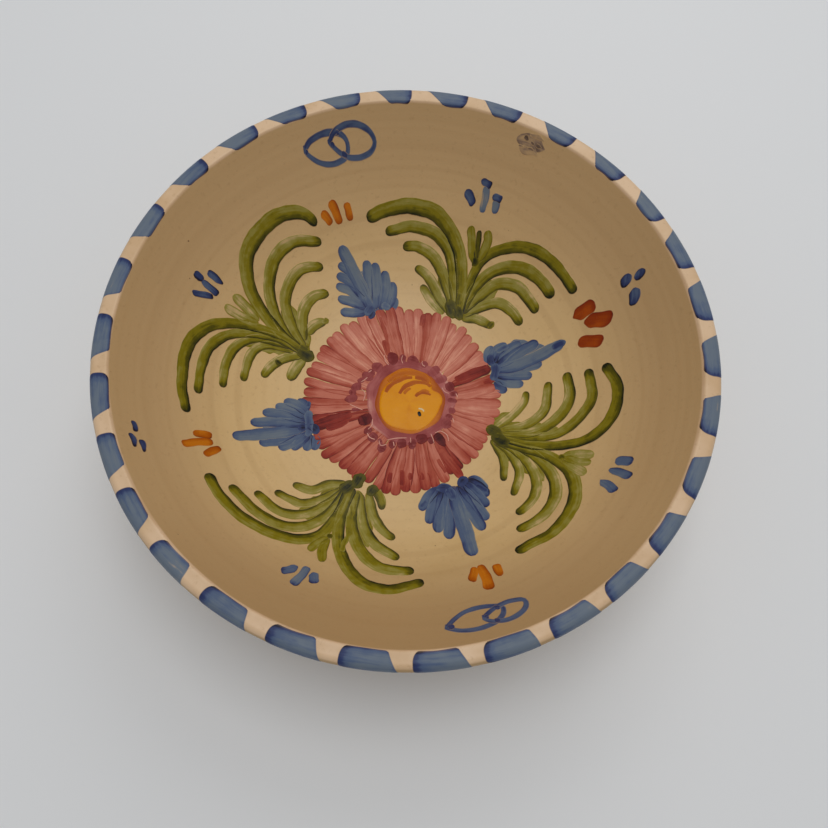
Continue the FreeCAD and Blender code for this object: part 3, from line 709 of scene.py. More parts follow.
def band(painting, centre, inner, outer, load, lift, thick):
    """A flat ring of paint between two uneven edges, each a function of the angle."""
    turn = np.linspace(0, 2 * math.pi, 220, endpoint=False)[:, None]
    v = np.array([0, 0.03, 0.1, 0.25, 0.45, 0.65, 0.85, 0.95, 1.0])[None, :]
    radius = inner(turn) + (outer(turn) - inner(turn)) * v
    x, y = centre[0] + radius * np.cos(turn), centre[1] + radius * np.sin(turn)
    rise = edge_fall(v, 0.08)
    height = POOL_SINK * (1 - rise) + (lift + thick) * rise
    under = on_dish(x, y, UNDER_SINK)
    painting.add(on_dish(x, y, height), under, load(turn, v), turn * 22, (v - 0.5) * 8, 0.3, 1.0, True)


band(
    plum_painting, HEART, lambda q: 17.5,
    lambda q: 25.2 + 0.9 * np.sin(3 * q + 1) + 0.6 * np.sin(7 * q) + 0.4 * np.sin(13 * q + 2),
    lambda q, v: 0.36 + 0.12 * np.sin(2 * q + 4) + 0.06 * np.sin(9 * q) + 0.1 * (1 - v), 0.13, 0.05,
)
# Dabs: middle x, y, length, width, lie in degrees and load.
PLUM_DABS = [
    (-8.5, 24, 6.66, 8.32, 12, 0.78), (3, 23.4, 7.4, 5.98, -18, 0.64), (15, 17.6, 5.92, 8.45, -48, 0.54),
    (19.5, 13, 5.18, 7.15, -62, 0.52), (24.6, 9, 6.66, 5.98, -58, 0.76), (27, 1, 3.7, 5.46, 85, 0.64),
    (26.8, -5, 4.44, 4.16, 85, 0.58), (24, -13, 6.66, 5.98, 52, 0.66), (21, -22.6, 5.55, 9.36, 40, 0.94),
    (11, -23, 7.03, 6.5, 24, 0.8), (0, -26.6, 5.92, 5.98, 5, 0.76), (-11, -29.6, 5.55, 5.46, -14, 0.66),
    (-16.5, -24.2, 5.92, 6.5, -36, 0.72), (-21.8, -14, 7.03, 9.1, -62, 0.94),
    (-30.5, -2, 5.18, 7.28, -72, 0.66), (-28, 5.4, 5.18, 5.98, -70, 0.64),
    (-21.8, 12, 5.92, 6.5, 56, 0.62), (-16.6, 18, 6.66, 6.5, 60, 0.58), (-27, -8.4, 5.18, 2.6, 12, 0.64),
    (6.4, -25.4, 3.7, 4.68, 20, 0.7), (-25.8, 9.4, 3.7, 4.42, -60, 0.58), (-12, -26, 2.96, 3.9, 30, 0.62),
    (-5.4, -27.4, 4.44, 4.68, -8, 0.72), (5.6, -27, 4.44, 4.94, 10, 0.76),
    (16, -23.6, 4.07, 4.68, 32, 0.76), (25.6, -9, 4.07, 4.16, 66, 0.64), (27, 5, 4.07, 4.42, -75, 0.68),
    (9.6, 21.6, 4.44, 4.68, -32, 0.58), (-3, 24.4, 4.44, 4.68, 2, 0.62),
    (-20, 14.6, 4.44, 4.68, 54, 0.62), (-30, 2, 4.07, 4.68, -84, 0.64), (-19.4, -20, 4.44, 5.2, -46, 0.72),
]
for x, y, long, wide, turn, load in PLUM_DABS:
    way = np.array([math.cos(math.radians(turn)), math.sin(math.radians(turn))]) * long / 2
    spot = np.array([x, y])
    dab(plum_painting, [spot - way, spot + way], wide, plum_random, load=load, root=0.8, tip_load=0.05,
        lift=0.18, thick=0.05, ragged=0.4, melt=0.16)
# Pale hairlines where the thick plum drew back from itself in the kiln.
HAIRLINES = [
    (-13.6, 26.4, -12.8, 22.4, -10.2, 19.6), (-2.8, 27.6, -3.6, 24, -2.4, 21),
    (8.4, 24.2, 8.4, 21.8, 11, 20.2), (-21.6, 12.4, -24, 9.6, -26.4, 8.2), (-19.6, 16.6, -22.6, 14.4),
    (-31, -5.2, -27, -6.8, -23, -8.2), (-17.4, -12.6, -17.4, -16.8, -20, -20.2),
    (-20, -20.6, -18, -24, -14, -25.2), (-13, -24.4, -11.6, -28.2, -8, -27.2), (-5.2, -24.8, -4, -28.8),
    (4.4, -22, 4.8, -26.4), (15.4, -19, 17, -22.4, 17.8, -25.2),
    (17.4, -19.2, 21, -17.6, 24.6, -19.6, 25.8, -23.2), (20, 9, 22, 6, 25.2, 5), (28, 6, 29.6, 2.8),
    (27, -9, 28.2, -12.2), (18, 19, 20.4, 15.6), (-25, 4.6, -22.6, 1.4, -23.4, -3),
    (-9, -25, -3, -23.4, 3, -22.8),
]
for line in HAIRLINES:
    dab(plum_painting, line, 0.5, plum_random, load=0.06, pool=0.0, lift=0.24, thick=0.03,
        ragged=0.04, melt=0.02)
plum_painting.piece("flower_ring_brushed", "flower_ring", plum_finish, "plum_paint")

# ---------------------------------------------------------------- flower heart
# The heart is a round pool of thick yellow over a wider orange one, stroked across its upper half
# with a little ochre while wet. One bubble in the glaze burst there and left a pinhole.
YELLOW_STOPS = [
    (0, 230, 162, 0), (0.3, 212, 138, 0), (0.52, 186, 102, 0), (0.75, 156, 70, 2), (1, 108, 42, 2),
]
heart_yellow = brushed(
    "heart_yellow_finish", YELLOW_STOPS, thin=-1.0, streak=0.14, gloss=(0.2, 0.32), mottle=0.1
)
heart_random = random.Random(3)
heart_painting = Painting()


def pool(painting, centre, edge, load, lift, thick, dome):
    """A round pool of thick paint with an uneven edge, from its middle outwards."""
    turn = np.linspace(0, 2 * math.pi, 200, endpoint=False)[:, None]
    v = np.array([0.002, 0.008, 0.03, 0.12, 0.25, 0.38, 0.5, 0.62, 0.73, 0.83, 0.9, 0.95, 0.98, 1])[None, :]
    radius = edge(turn) * v
    x, y = centre[0] + radius * np.cos(turn), centre[1] + radius * np.sin(turn)
    rise = np.sqrt(1 - np.clip((v - 0.93) / 0.07, 0, 1) ** 2)
    height = POOL_SINK * (1 - rise) + (lift + thick + dome * (1 - v**2)) * rise
    under = on_dish(x, y, UNDER_SINK)
    painting.add(on_dish(x, y, height), under, load(turn, v), x * 3, y * 0.4, 0.6, 1.0, True)


pool(
    heart_painting, HEART, lambda q: 20.2 + 0.5 * np.sin(3 * q + 2) + 0.3 * np.sin(8 * q),
    lambda q, v: 0.54 + 0.12 * np.sin(q * 2 + 1) + 0.22 * np.clip((v - 0.88) / 0.12, 0, 1), 0.14, 0.1, 0.0,
)
YELLOW_RADIUS = 17.4
HEART_DOME = 0.14
HEART_LEVEL = 0.34


def yellow_edge(q):
    """The yellow pool's radius: nearly round, with one nick at the back on the right."""
    wavy = YELLOW_RADIUS + 0.5 * np.sin(2 * q + 0.4) + 0.35 * np.sin(5 * q + 1)
    return wavy - 2.2 * near(q, 0.62, 0.16) + near(q, 0.2, 0.2)


pool(
    heart_painting, HEART + np.array([0.1, -1.0]), yellow_edge,
    lambda q, v: 0.3 + 0.12 * np.clip((v - 0.9) / 0.1, 0, 1) + 0.05 * np.sin(3 * q), 0.2, 0.14, HEART_DOME,
)


def heart_top(x, y):
    """Height of the yellow pool, mm, where the ochre is stroked over it."""
    return HEART_LEVEL + HEART_DOME * (1 - np.hypot(x - HEART[0], y - HEART[1] + 1) ** 2 / YELLOW_RADIUS**2)


# Ochre arcs: width and load, then the points.
OCHRE = [
    (3, 0.68, -11.4, 2.6, -9.4, 6.8, -5.4, 10.4, -0.5, 12.8, 4, 13.4),
    (3.6, 0.62, -10.6, 9.6, -5, 14.2, 3, 16.2, 10, 14.8, 13.6, 10.8),
    (3, 0.68, -3.6, 2.2, -2, 5.6, 1.4, 8.8, 6, 10.6, 11, 10.2, 14.6, 8.2),
    (2.2, 0.56, -1.2, 2.4, 0.8, 5, 3.2, 7.2), (3.4, 0.66, 4, 13.4, 9, 13.2, 13.4, 10.2),
    (2.2, 0.68, 5.4, 1.2, 7, 3.4, 10.4, 4.6, 15, 3.2), (1.8, 0.56, 6.8, 3.6, 10, 6, 14, 4.6),
]
for width, load, *line in OCHRE:
    brush(heart_painting, line, width, heart_random, load=load, pool=0.12, root_load=0.04, tip_load=0.0,
          lift=heart_top, thick=0.03, tip=0.7, ragged=0.2, outline=0.0, melt=0.14)
heart_painting.piece("flower_heart_pool", "flower_heart", heart_yellow, "yellow_paint")

# The pinhole: a black disc for the pit, its darkness painted shade, with a pale arc beside it that is a
# painted highlight.
PIT = np.array([8.6, -8.4])
PINHOLE_SHADE_AND_HIGHLIGHT_STOPS = [(0, 225, 205, 160), (0.35, 150, 110, 60), (0.7, 40, 26, 14), (1, 12, 8, 6)]
pinhole_shade_and_highlight = brushed("pinhole_shade_and_highlight_finish", PINHOLE_SHADE_AND_HIGHLIGHT_STOPS, thin=-1.0, streak=0.1, gloss=(0.1, 0.2), mottle=0.1)
pit_painting = Painting()
pool(pit_painting, PIT, lambda q: 1.25 + 0.3 * np.cos(2 * q - 3.9), lambda q, v: 1.0, 0.5, 0.06, 0.02)
# The pale arc is a painted highlight on the glaze beside the pit.
dab(pit_painting, (6.6, -6.2, 8.6, -5.2, 10.6, -6, 11.2, -8), 1.1, heart_random, load=0.12, pool=0.0,
    lift=0.42, thick=0.06, ragged=0.05)
pit_painting.piece("heart_pinhole_shade_and_highlight", None, pinhole_shade_and_highlight, "yellow_paint")

# ---------------------------------------------------------------- green sprays
# Four sprays of olive green, each two curling fronds of single brush fingers that fan from one
# root beside the flower, with a small pale bud between them. The outside finger is laid strongest.
GREEN_STOPS = [
    (0, 158, 146, 96), (0.22, 138, 128, 58), (0.42, 120, 108, 14), (0.66, 78, 72, 8), (1, 24, 28, 12),
]
spray_green = brushed("spray_green_finish", GREEN_STOPS, thin=0.12, streak=0.66, mottle=0.5)
# Each row is a stroke: its width, how full the brush is, then the points that it passes, in mm.
SPRAYS = {
    "left": (
        ((6.8, 0.4, -57, 21, -75.5, 33, -89, 48, -91.3, 66, -80, 84.5, -66, 92.5, -56, 90.5),
         (6, 0.3, -58, 22, -71, 32.5, -79.5, 49, -78.5, 66.5, -69, 78.6, -53.5, 83.5),
         (6, 0.26, -59, 25, -68, 38.5, -71.4, 52, -65, 66.6, -52, 72),
         (6.3, 0.22, -59.5, 29, -61.8, 43.5, -57, 54.5, -48, 58.8),
         (6, 0.12, -59, 33, -54.6, 39.4, -48.4, 43.2)),
        ((5.3, 0.46, -57, 21, -72, 29, -92, 29.3, -107, 21.5, -114.6, 6.6, -114.3, -14, -109.8, -29.6),
         (4.8, 0.38, -60, 22, -77, 27.2, -95, 23, -105, 12, -107.8, -2, -107.2, -17),
         (4.8, 0.32, -66, 24, -84, 24.4, -94, 16, -97.6, 4, -97.4, -9),
         (4.8, 0.26, -64, 22, -79, 22.2, -86.5, 14, -88.6, -2),
         (5.5, 0.2, -59, 20.5, -69, 17.2, -76, 10, -79.3, 3.2),
         (6.5, 0.12, -58, 19, -62, 14, -65.4, 4.5)),
        ((6.2, 0.1, -84, 34, -90, 38.5, -97.4, 42.6), (6, 0.12, -84, 33, -92, 33, -101, 35.4)),
    ),
    "top": (
        ((7.2, 0.42, 26.5, 51, 28.3, 68, 24.5, 88.5, 12, 103, -5, 106.3, -19.5, 103, -29, 98.3),
         (6, 0.32, 25.5, 53, 24, 66, 21, 83.5, 12, 94.5, -3, 97.8, -18, 94),
         (6.3, 0.28, 24.5, 54, 20, 68.5, 12.5, 82.5, 2, 88.7, -7.5, 88.3),
         (6, 0.22, 22, 54, 15, 64.5, 8.5, 74, 0.5, 78.8),
         (5.5, 0.14, 19, 53.5, 11, 61.5, 4.8, 69.5)),
        ((5.4, 0.48, 28, 52, 32, 68, 39, 82, 52, 86.2, 66, 83.3, 79, 73, 90, 57.5),
         (6.3, 0.36, 29, 54, 37, 69.5, 48, 76.6, 61, 75.6, 71.5, 68, 79, 58),
         (6.3, 0.3, 29, 54, 38, 62.5, 48, 69, 59, 67, 67, 58.5, 71.2, 51.5),
         (6, 0.26, 30, 52.5, 40, 57.5, 50, 59, 57.5, 54, 63.3, 46),
         (5.5, 0.22, 29.5, 50.5, 38, 50.8, 47, 46)),
        ((5, 0.3, 34.5, 80, 32.5, 89, 30.8, 98.3), (3.4, 0.66, 35.5, 81, 35.8, 88, 36, 96),
         (5.5, 0.3, 37, 81, 41, 90, 40.3, 95.5)),
    ),
    "bottom": (
        ((6, 0.42, -27, -54, -31.5, -72, -40, -85, -55, -87.5, -73.5, -81.5, -87, -71, -95, -60),
         (5.8, 0.32, -28, -55, -36, -71, -46, -79.5, -58, -80.8, -71, -75, -84.5, -63.5),
         (5.5, 0.3, -28, -54.5, -38, -66, -48, -72.8, -60, -73, -73, -64),
         (5.2, 0.26, -28, -53.5, -39, -62, -49, -66.5, -56, -65, -64, -61.8),
         (5.4, 0.26, -28, -51.5, -38, -53.8, -46, -58, -56, -56)),
        ((6.2, 0.44, -24, -54, -29, -72, -27.5, -90, -17, -106, -2, -110.8, 16, -105.3),
         (6.4, 0.3, -22, -56, -23.5, -73, -17.5, -89, -6, -98.8, 11, -99.8),
         (6, 0.26, -20, -57, -18, -72, -11, -84.5, 3, -93.3),
         (5.5, 0.26, -16, -55, -13, -67, -7.5, -76.3, 0, -82.2),
         (5, 0.32, -14, -53, -9.5, -58.5, -7.8, -65.5)),
        ((4.8, 0.26, -33.5, -84, -38.5, -88.5, -42, -93.5), (5, 0.3, -33, -85, -35.5, -91, -34.5, -99)),
    ),
    "right": (
        ((5.6, 0.52, 50, -18.5, 66, -24, 84, -26.5, 98, -24.5, 108, -14.5, 111, 1, 105.5, 16.3),
         (5.5, 0.34, 52, -18, 68, -20, 83, -19.5, 94, -11.5, 100, -0.5, 98, 15.6),
         (6, 0.28, 54, -17, 70, -17.5, 82, -11.5, 89.5, 0, 88, 16),
         (5.5, 0.24, 55, -15, 67, -13, 77, -4.5, 79, 12),
         (5, 0.12, 50, -15, 60, -7, 66.3, 1, 67.5, 7.5)),
        ((6, 0.4, 50, -21, 66, -26.5, 80, -33, 89, -45, 88.5, -61, 79, -76, 68, -83, 60, -88),
         (6, 0.3, 51, -21.5, 68, -28, 79, -41, 81, -55, 74, -67.5, 61.5, -75.5),
         (5.5, 0.26, 51, -22, 63, -28.5, 71.5, -42, 71, -55.5, 62, -66),
         (5, 0.26, 50.5, -22, 59, -29, 64, -41, 60.5, -54.8),
         (4.8, 0.32, 49, -21, 55.5, -32, 56, -46)),
        ((6, 0.12, 85, -33, 92, -33, 99.6, -35), (5, 0.16, 85, -34, 92, -37, 98, -39),
         (6, 0.12, 85, -35, 90, -40, 95, -45.5)),
    ),
}
SPRAY_ROOTS = {
    "left": [(7.5, 0.9, -53, 20, -63, 23), (4, 0.68, -56, 24, -62, 27), (2.6, 0.78, -70, 13, -74, 15),
        (4, 0.58, -47, 44, -51, 42)],
    "top": [(7, 0.84, 21, 62, 25, 51), (6.5, 0.82, 25, 58, 29, 50), (3.4, 0.83, 34, 79, 36, 84),
        (3, 0.68, 27, 58, 28, 66), (3.4, 0.68, 45, 45, 48, 49)],
    "bottom": [(7, 0.84, -20, -45, -24, -54), (7, 0.93, -25, -50, -31, -57),
        (6.4, 0.93, -13, -51, -16, -58), (3, 0.83, -33, -82, -33.5, -85), (3.4, 0.53, -24, -64, -26, -92)],
    "right": [(7, 0.86, 46, -14, 55, -19), (7, 0.88, 49, -19, 59, -24), (3, 0.68, 84, -32, 86, -35)],
}
SPRAY_WASHES = {
    "left": [(14, -56, 23, -66, 35, -71, 50), (12, -57, 21, -76, 24, -93, 19)],
    "top": [(15, 25, 52, 22, 67, 14, 80), (15, 28, 52, 38, 63, 52, 70)],
    "bottom": [(16, -27, -53, -37, -66, -54, -75), (15, -22, -55, -20, -72, -13, -88)],
    "right": [(9, 50, -14, 56, -9, 62, -4), (14, 49, -17, 66, -17, 84, -16),
        (15, 50, -22, 65, -30, 76, -47)],
}
SPREAD = 1.08
spray_random = random.Random(21)
for way, (first, second, bud) in SPRAYS.items():
    painting = Painting()
    for width, *line in SPRAY_WASHES[way]:
        dab(painting, line, width, spray_random, load=0.3, root=0.4, tip=0.3, root_load=0.1, ragged=0.5,
            outline=0.1, lift=-0.01)
    for frond in (first, second):
        dark_side = -1 if way == "right" and frond is first else None
        for step, (width, load, *line) in reversed(list(enumerate(frond))):
            brush(
                painting, line, width * SPREAD, spray_random, load=load, pool=0.34, root=0.7, tip=0.8,
                root_load=0.16, tip_load=0.4, lift=0.015 * (len(frond) - step), ragged=0.1, outline=0.22,
                lean=0.17, pool_wide=0.42, tip_reach=3.6, side=dark_side,
            )
    for width, load, *line in bud:
        brush(painting, line, width, spray_random, load=load, pool=0.2, root=0.55, tip=0.95, root_load=0.2,
              tip_load=0.08, lift=0.1, side=0)
    for width, load, *line in SPRAY_ROOTS[way]:
        dab(painting, line, width, spray_random, load=load, lift=0.22, thick=0.04, ragged=0.5, melt=0.34)
    painting.piece(f"leaf_spray_{way}_brushed", f"leaf_spray_{way}", spray_green, "green_paint")

# ---------------------------------------------------------------- blue leaves
# Four leaves of watery cobalt blue, each a long middle finger with shorter ones fanned on both
# sides. The brush was fullest at the base, so the roots run together dark against the flower.
leaf_blue = brushed("leaf_blue_finish", BLUE_STOPS, thin=0.06, streak=0.5, mottle=0.3)
# Each row is a finger: its width, then its root, middle and tip, in mm.
LEAVES = {
    "top": [(8.4, -22, 52, -27, 62, -34, 73), (8, -23, 54, -30, 60, -38, 66),
        (5.4, -12, 53, -10.5, 58, -10.5, 62), (5.8, -15, 53, -12, 62, -12, 70),
        (6.2, -18, 53, -16, 65, -17, 75.5), (6.2, -21, 53, -21, 66, -23, 79),
        (6.4, -22, 52, -25, 66, -28, 79.5), (5.4, -25, 52, -33, 50, -41, 49.5),
        (5.4, -25, 54, -35, 56, -43, 57), (5.4, -26, 56, -36, 62, -44.5, 63.5),
        (5.4, -26, 58, -37, 67, -44.5, 69), (5.4, -26, 60, -37, 72, -44, 74.5),
        (7.2, -23, 52, -32, 68, -43, 84)],
    "right": [(5.6, 50, 14, 53, 10, 57, 7.5), (5.8, 49, 16, 58, 13, 66, 11.5),
        (5.8, 49, 18, 61, 17, 70.5, 16.5), (5.8, 49, 19, 63, 21, 75.5, 23), (6, 47, 24, 46, 30, 48, 35),
        (6.2, 48, 23, 50, 31, 56, 36), (6.8, 49, 23, 57, 31.5, 64, 36), (6.8, 50, 22, 62, 30, 73, 35.5),
        (7.2, 48, 20, 65, 24, 86, 33)],
    "left": [(5.2, -48, -25, -47, -30, -48, -34.5), (5.6, -50, -25, -51, -31, -52, -35.5),
        (5.8, -51, -24, -56, -31, -59, -36), (5.8, -52, -24, -60, -32, -66, -36.5),
        (5.8, -53, -23, -65, -31, -76, -35.5), (5.2, -53, -12, -56, -8, -60, -6),
        (5.4, -53, -14, -60, -9, -67, -8), (5.8, -53, -16, -63, -12, -71, -12),
        (5.8, -53, -18, -66, -16, -77, -17), (5.8, -53, -20, -68, -21, -82, -24.5),
        (6.6, -53, -22, -70, -28, -89, -35)],
    "bottom": [(5.8, 22, -50, 16, -57, 12.5, -64.5), (6.2, 23.5, -50, 19, -62, 17, -72),
        (6.6, 25, -50, 23, -65, 22, -77), (6.6, 27, -50, 28, -67, 28, -80.5),
        (5.4, 37, -44, 42, -46, 47.5, -51), (5.8, 36, -45, 43, -49, 48, -55),
        (6.2, 34, -46, 42, -54, 48, -61), (6.2, 32, -48, 41, -59, 47.5, -69),
        (6.6, 31, -49, 39, -63, 45.5, -75), (7.6, 28.5, -50, 35, -71, 40, -90)],
}
LEAF_LOAD = {"top": 0.36, "right": 0.4, "left": 0.4, "bottom": 0.52}
LEAF_ROOTS = {
    "top": [(3.6, 0.91, -22, 53, -24, 47.5), (5, 0.68, -26, 49, -22, 57), (4, 0.58, -18, 56, -12, 55)],
    "right": [(4.4, 0.91, 46, 30, 48, 23), (5.4, 0.76, 50, 25, 49, 14), (4, 0.81, 80, 30.5, 87, 33.4),
        (4, 0.56, 50, 31, 57, 35)],
    "left": [(5.2, 0.91, -58, -23, -52, -21), (5.6, 0.96, -53, -20, -46, -24),
        (5, 0.66, -53, -11, -52, -27), (4.4, 0.76, -55, -8, -52, -8)],
    "bottom": [(5.4, 0.86, 20, -51, 29, -51), (6, 0.96, 32, -49, 37, -44), (5, 0.76, 26, -50, 30, -58),
        (3, 0.81, 41, -48, 48, -52), (3, 0.76, 16, -58, 12, -63)],
}
LEAF_WASHES = {
    "top": (18, -20, 52, -24, 62, -30, 74),
    "right": (20, 48, 21, 60, 27, 77, 32),
    "left": (19, -50, -20, -62, -23, -76, -28),
    "bottom": (20, 29, -49, 30, -61, 33, -74),
}
LEAF_SPREAD = 1.12
leaf_random = random.Random(34)
for way, fingers in LEAVES.items():
    painting = Painting()
    width, *line = LEAF_WASHES[way]
    dab(painting, line, width, leaf_random, load=LEAF_LOAD[way] - 0.06, pool=0.05, root=0.7, tip=0.4,
        root_load=0.3, ragged=0.6, lift=-0.01)
    for step, (width, *line) in enumerate(fingers):
        brush(
            painting, line, width * LEAF_SPREAD, leaf_random,
            load=LEAF_LOAD[way] + leaf_random.uniform(-0.08, 0.06),
            pool=0.3, root=0.6, tip=0.85, root_load=0.34, tip_load=0.14, lift=0.01 * step, ragged=0.14,
            side=leaf_random.choice((-1, 1)), pool_wide=0.34, outline=-0.1, lean=0.1, tip_reach=2.4,
        )
    for width, load, *line in LEAF_ROOTS[way]:
        dab(painting, line, width, leaf_random, load=load, lift=0.22, thick=0.04, ragged=0.4, melt=0.3)
    painting.piece(f"blue_leaf_{way}_brushed", f"blue_leaf_{way}", leaf_blue, "blue_paint")

# ---------------------------------------------------------------- ticks and dots
# Small touches between the leaves and the lip: threes of thick orange, threes and fours of thin
# blue, one group in rust red, and two little groups of blue dots.
ORANGE_STOPS = [
    (0, 212, 138, 52), (0.3, 186, 106, 16), (0.55, 160, 78, 6), (0.8, 128, 52, 2), (1, 92, 32, 2),
]
RUST_STOPS = [(0, 184, 98, 30), (0.3, 158, 68, 4), (0.55, 134, 48, 2), (0.8, 120, 34, 2), (1, 80, 18, 2)]
tick_orange = brushed("tick_orange_finish", ORANGE_STOPS, thin=-0.6, streak=0.3, gloss=(0.2, 0.3), mottle=0.3)
tick_rust = brushed("tick_rust_finish", RUST_STOPS, thin=-0.6, streak=0.3, gloss=(0.2, 0.3), mottle=0.3)
tick_blue = brushed("tick_blue_finish", BLUE_STOPS, thin=0.16, streak=0.5, mottle=0.35)
# Each row is a touch: width, load, how wide its start and its end are, then both ends.
MARKS = {
    "orange_ticks_left": [(4.4, 0.31, 0.8, 1, -105.4, -40, -97.2, -38.2),
        (4.8, 0.28, 0.95, 0.85, -108.2, -47.8, -96.2, -41.4),
        (4.4, 0.36, 0.85, 0.8, -98.2, -50.6, -92.6, -43.4)],
    "orange_ticks_top": [(4.8, 0.26, 0.8, 0.9, -54.2, 96, -48.2, 92.2),
        (5.4, 0.28, 0.9, 0.8, -49.4, 102, -43.6, 93.2), (4.6, 0.28, 0.9, 0.8, -41, 103, -37.8, 95.8)],
    "orange_ticks_bottom": [(4.6, 0.28, 0.7, 0.95, 40.2, -96, 38.6, -104.6),
        (5.6, 0.34, 0.7, 1, 42.8, -94.8, 46.6, -108.8), (4.8, 0.32, 0.95, 0.7, 50.2, -94.4, 51.8, -101.4)],
    "orange_ticks_right": [(8, 0.36, 0.35, 1, 89.6, 44.8, 100, 49),
        (8.2, 0.42, 0.5, 1, 95, 41.4, 108, 39), (6.8, 0.38, 0.85, 1, 92.8, 31.8, 104.4, 28.2)],
    "blue_ticks_left": [(4.2, 0.56, 1, 0.5, -109.4, 48, -102, 45.6),
        (4.8, 0.66, 1, 0.4, -115, 44.6, -110.4, 42.6), (4.4, 0.52, 0.5, 1, -112, 42.6, -104, 39.2),
        (3.6, 0.62, 0.9, 0.8, -115.2, 34.4, -106, 37.4)],
    "blue_ticks_top": [(4.6, 0.52, 0.7, 0.9, 26, 112.6, 31.6, 106.6),
        (4.4, 0.14, 0.9, 0.8, 37.6, 113.6, 36.4, 103), (4.4, 0.16, 0.9, 0.8, 43.4, 108, 43.6, 101.8),
        (3.4, 0.56, 0.5, 1, 34.2, 115.8, 40.4, 112.8), (3.4, 0.52, 0.6, 1, 41.2, 109.2, 46.8, 106.8)],
    "blue_ticks_bottom": [(4.6, 0.42, 0.45, 1, -44.8, -103, -52, -106.8),
        (4.8, 0.32, 0.85, 1, -40.4, -102.4, -45.6, -113.4), (5.2, 0.36, 0.45, 1, -37.8, -105, -36, -111.4)],
    "blue_ticks_right": [(5.6, 0.38, 0.85, 1, 107.4, -40.2, 114.4, -42.6),
        (4.6, 0.4, 0.6, 1, 104.6, -44.4, 112.6, -51), (4.8, 0.38, 0.3, 1, 100.6, -49.6, 105.6, -58)],
    "blue_dots_right": [(4.6, 0.58, 0.8, 0.8, 112.2, 58.6, 111.8, 52),
        (4.4, 0.56, 0.8, 0.8, 117.6, 58.4, 117.2, 53), (4.8, 0.54, 0.6, 0.9, 116, 50.6, 116.2, 41.8)],
    "blue_dots_left": [(2.4, 0.64, 0.7, 0.9, -127, -44.4, -124.5, -50),
        (2.3, 0.66, 0.8, 0.7, -126.1, -51.4, -122.7, -58.2),
        (2.5, 0.64, 0.9, 0.6, -122.1, -52.8, -119.3, -59.2)],
}
mark_random = random.Random(55)
for name, strokes in MARKS.items():
    painting = Painting()
    for step, (width, load, root, tip, *line) in enumerate(strokes):
        brush(
            painting, line, width, mark_random, load=load, pool=0.3, root=root, tip=tip, root_load=0.1,
            tip_load=0.3, tip_reach=2.2, lean=0.1, side=mark_random.choice((-1, 1)), ragged=0.2,
            lift=0.012 * step, blunt=0.35 if "ticks" in name else 0.0, outline=0.12,
        )
    if name == "orange_ticks_right":
        painting.piece(name + "_brushed", name, tick_rust, "rust_paint")
    elif name.startswith("orange"):
        painting.piece(name + "_brushed", name, tick_orange, "orange_paint")
    else:
        painting.piece(name + "_brushed", name, tick_blue, "blue_paint")

# ---------------------------------------------------------------- linked rings
# Two pairs of plain interlaced loops near the lip, drawn with a fine brush in one line each; the
# colour gathers where the line crosses itself.
ring_blue = brushed("ring_blue_finish", BLUE_STOPS, thin=0.1, streak=0.5, mottle=0.3)
RING_LINE = 2.6
# Each loop's points in turn, x, y, x, y; its line runs on a little past where it began.
RINGS = {
    "linked_rings_top": (
        (-63, 116.4, -60, 120.2, -55.2, 123.4, -50, 125.6, -45, 126.6, -41.4, 125.4, -40.2, 122.4, -41.6,
         119.4, -45.2, 117, -50, 115.2, -55.4, 114.4, -60, 115),
        (-49.9, 122.4, -48.6, 125.2, -45, 128.2, -40, 130.4, -34, 131.2, -28.6, 130.2, -25.9, 127.2, -28,
         123.8, -33, 121.2, -39, 120, -44.4, 120.4),
    ),
    "linked_rings_bottom": (
        (26, -129.2, 29.6, -125, 34, -121.2, 40, -118.6, 46, -117.4, 51, -117.6, 51.2, -121, 48.6, -124.6,
         44, -127.4, 38, -129.6, 32, -130.2),
        (42.4, -123.6, 46, -120, 50, -117, 55, -114.6, 60.4, -114, 61.2, -116.8, 58.6, -120.6, 54, -123.6,
         49, -125, 45, -125),
    ),
}
RING_POOLS = {
    "linked_rings_top": [(2.6, -50, 122.3, -47, 121.4), (2.4, -62.8, 116.2, -61, 115.6),
        (2.3, -44, 120.4, -40, 120), (2.2, -47, 126.3, -44.6, 126.6)],
    "linked_rings_bottom": [(3, 26.6, -129, 30, -128.4), (2.6, 43, -123.6, 45, -122.4),
        (2.6, 47.4, -118.4, 50.6, -118), (2.4, 46.6, -125, 50, -124.6)],
}
ring_random = random.Random(89)
for name, loops in RINGS.items():
    painting = Painting()
    for step, loop in enumerate(loops):
        loop = np.reshape(loop, (-1, 2))
        closed = np.vstack([loop, loop[0], 0.65 * loop[0] + 0.35 * loop[1]])
        dab(painting, closed, RING_LINE, ring_random, load=0.6, root=0.9, tip=0.9, root_load=0.15,
            tip_load=0.1, lift=0.02 * step, ragged=0.06, thick=0.06)
    for width, *line in RING_POOLS[name]:
        dab(painting, line, width, ring_random, load=0.74, lift=0.05, thick=0.05)
    painting.piece(name + "_brushed", name, ring_blue, "blue_paint")

# ---------------------------------------------------------------- scuff
# A grey scuff high on the wall, where another pot touched the wet glaze in the kiln: a thin
# smear of ash baked into the glaze, with a few dark grains of kiln dirt in it.
SCUFF_STOPS = [(0, 168, 138, 106), (0.35, 142, 118, 98), (0.6, 110, 90, 78), (1, 58, 42, 34)]
scuff_finish = brushed("scuff_finish", SCUFF_STOPS, thin=0.34, streak=0.8, mottle=0.7)
scuff_random = random.Random(4)
scuff_painting = Painting()
SCUFF_STROKES = [
    (5, 0.42, 50.5, 127.6, 66, 120.6), (3.4, 0.34, 52.5, 124.4, 63, 119.6),
    (1.5, 0.8, 54, 127.4, 57.4, 125.4), (1.2, 0.7, 58, 125, 60.4, 123.4),
    (1.5, 0.66, 60.8, 123.4, 64.4, 121.4), (1.1, 0.5, 56.4, 123.2, 61, 121.4),
    (1.4, 0.4, 57, 127.6, 65, 123.4), (1.1, 0.5, 52, 125.2, 55, 124),
]
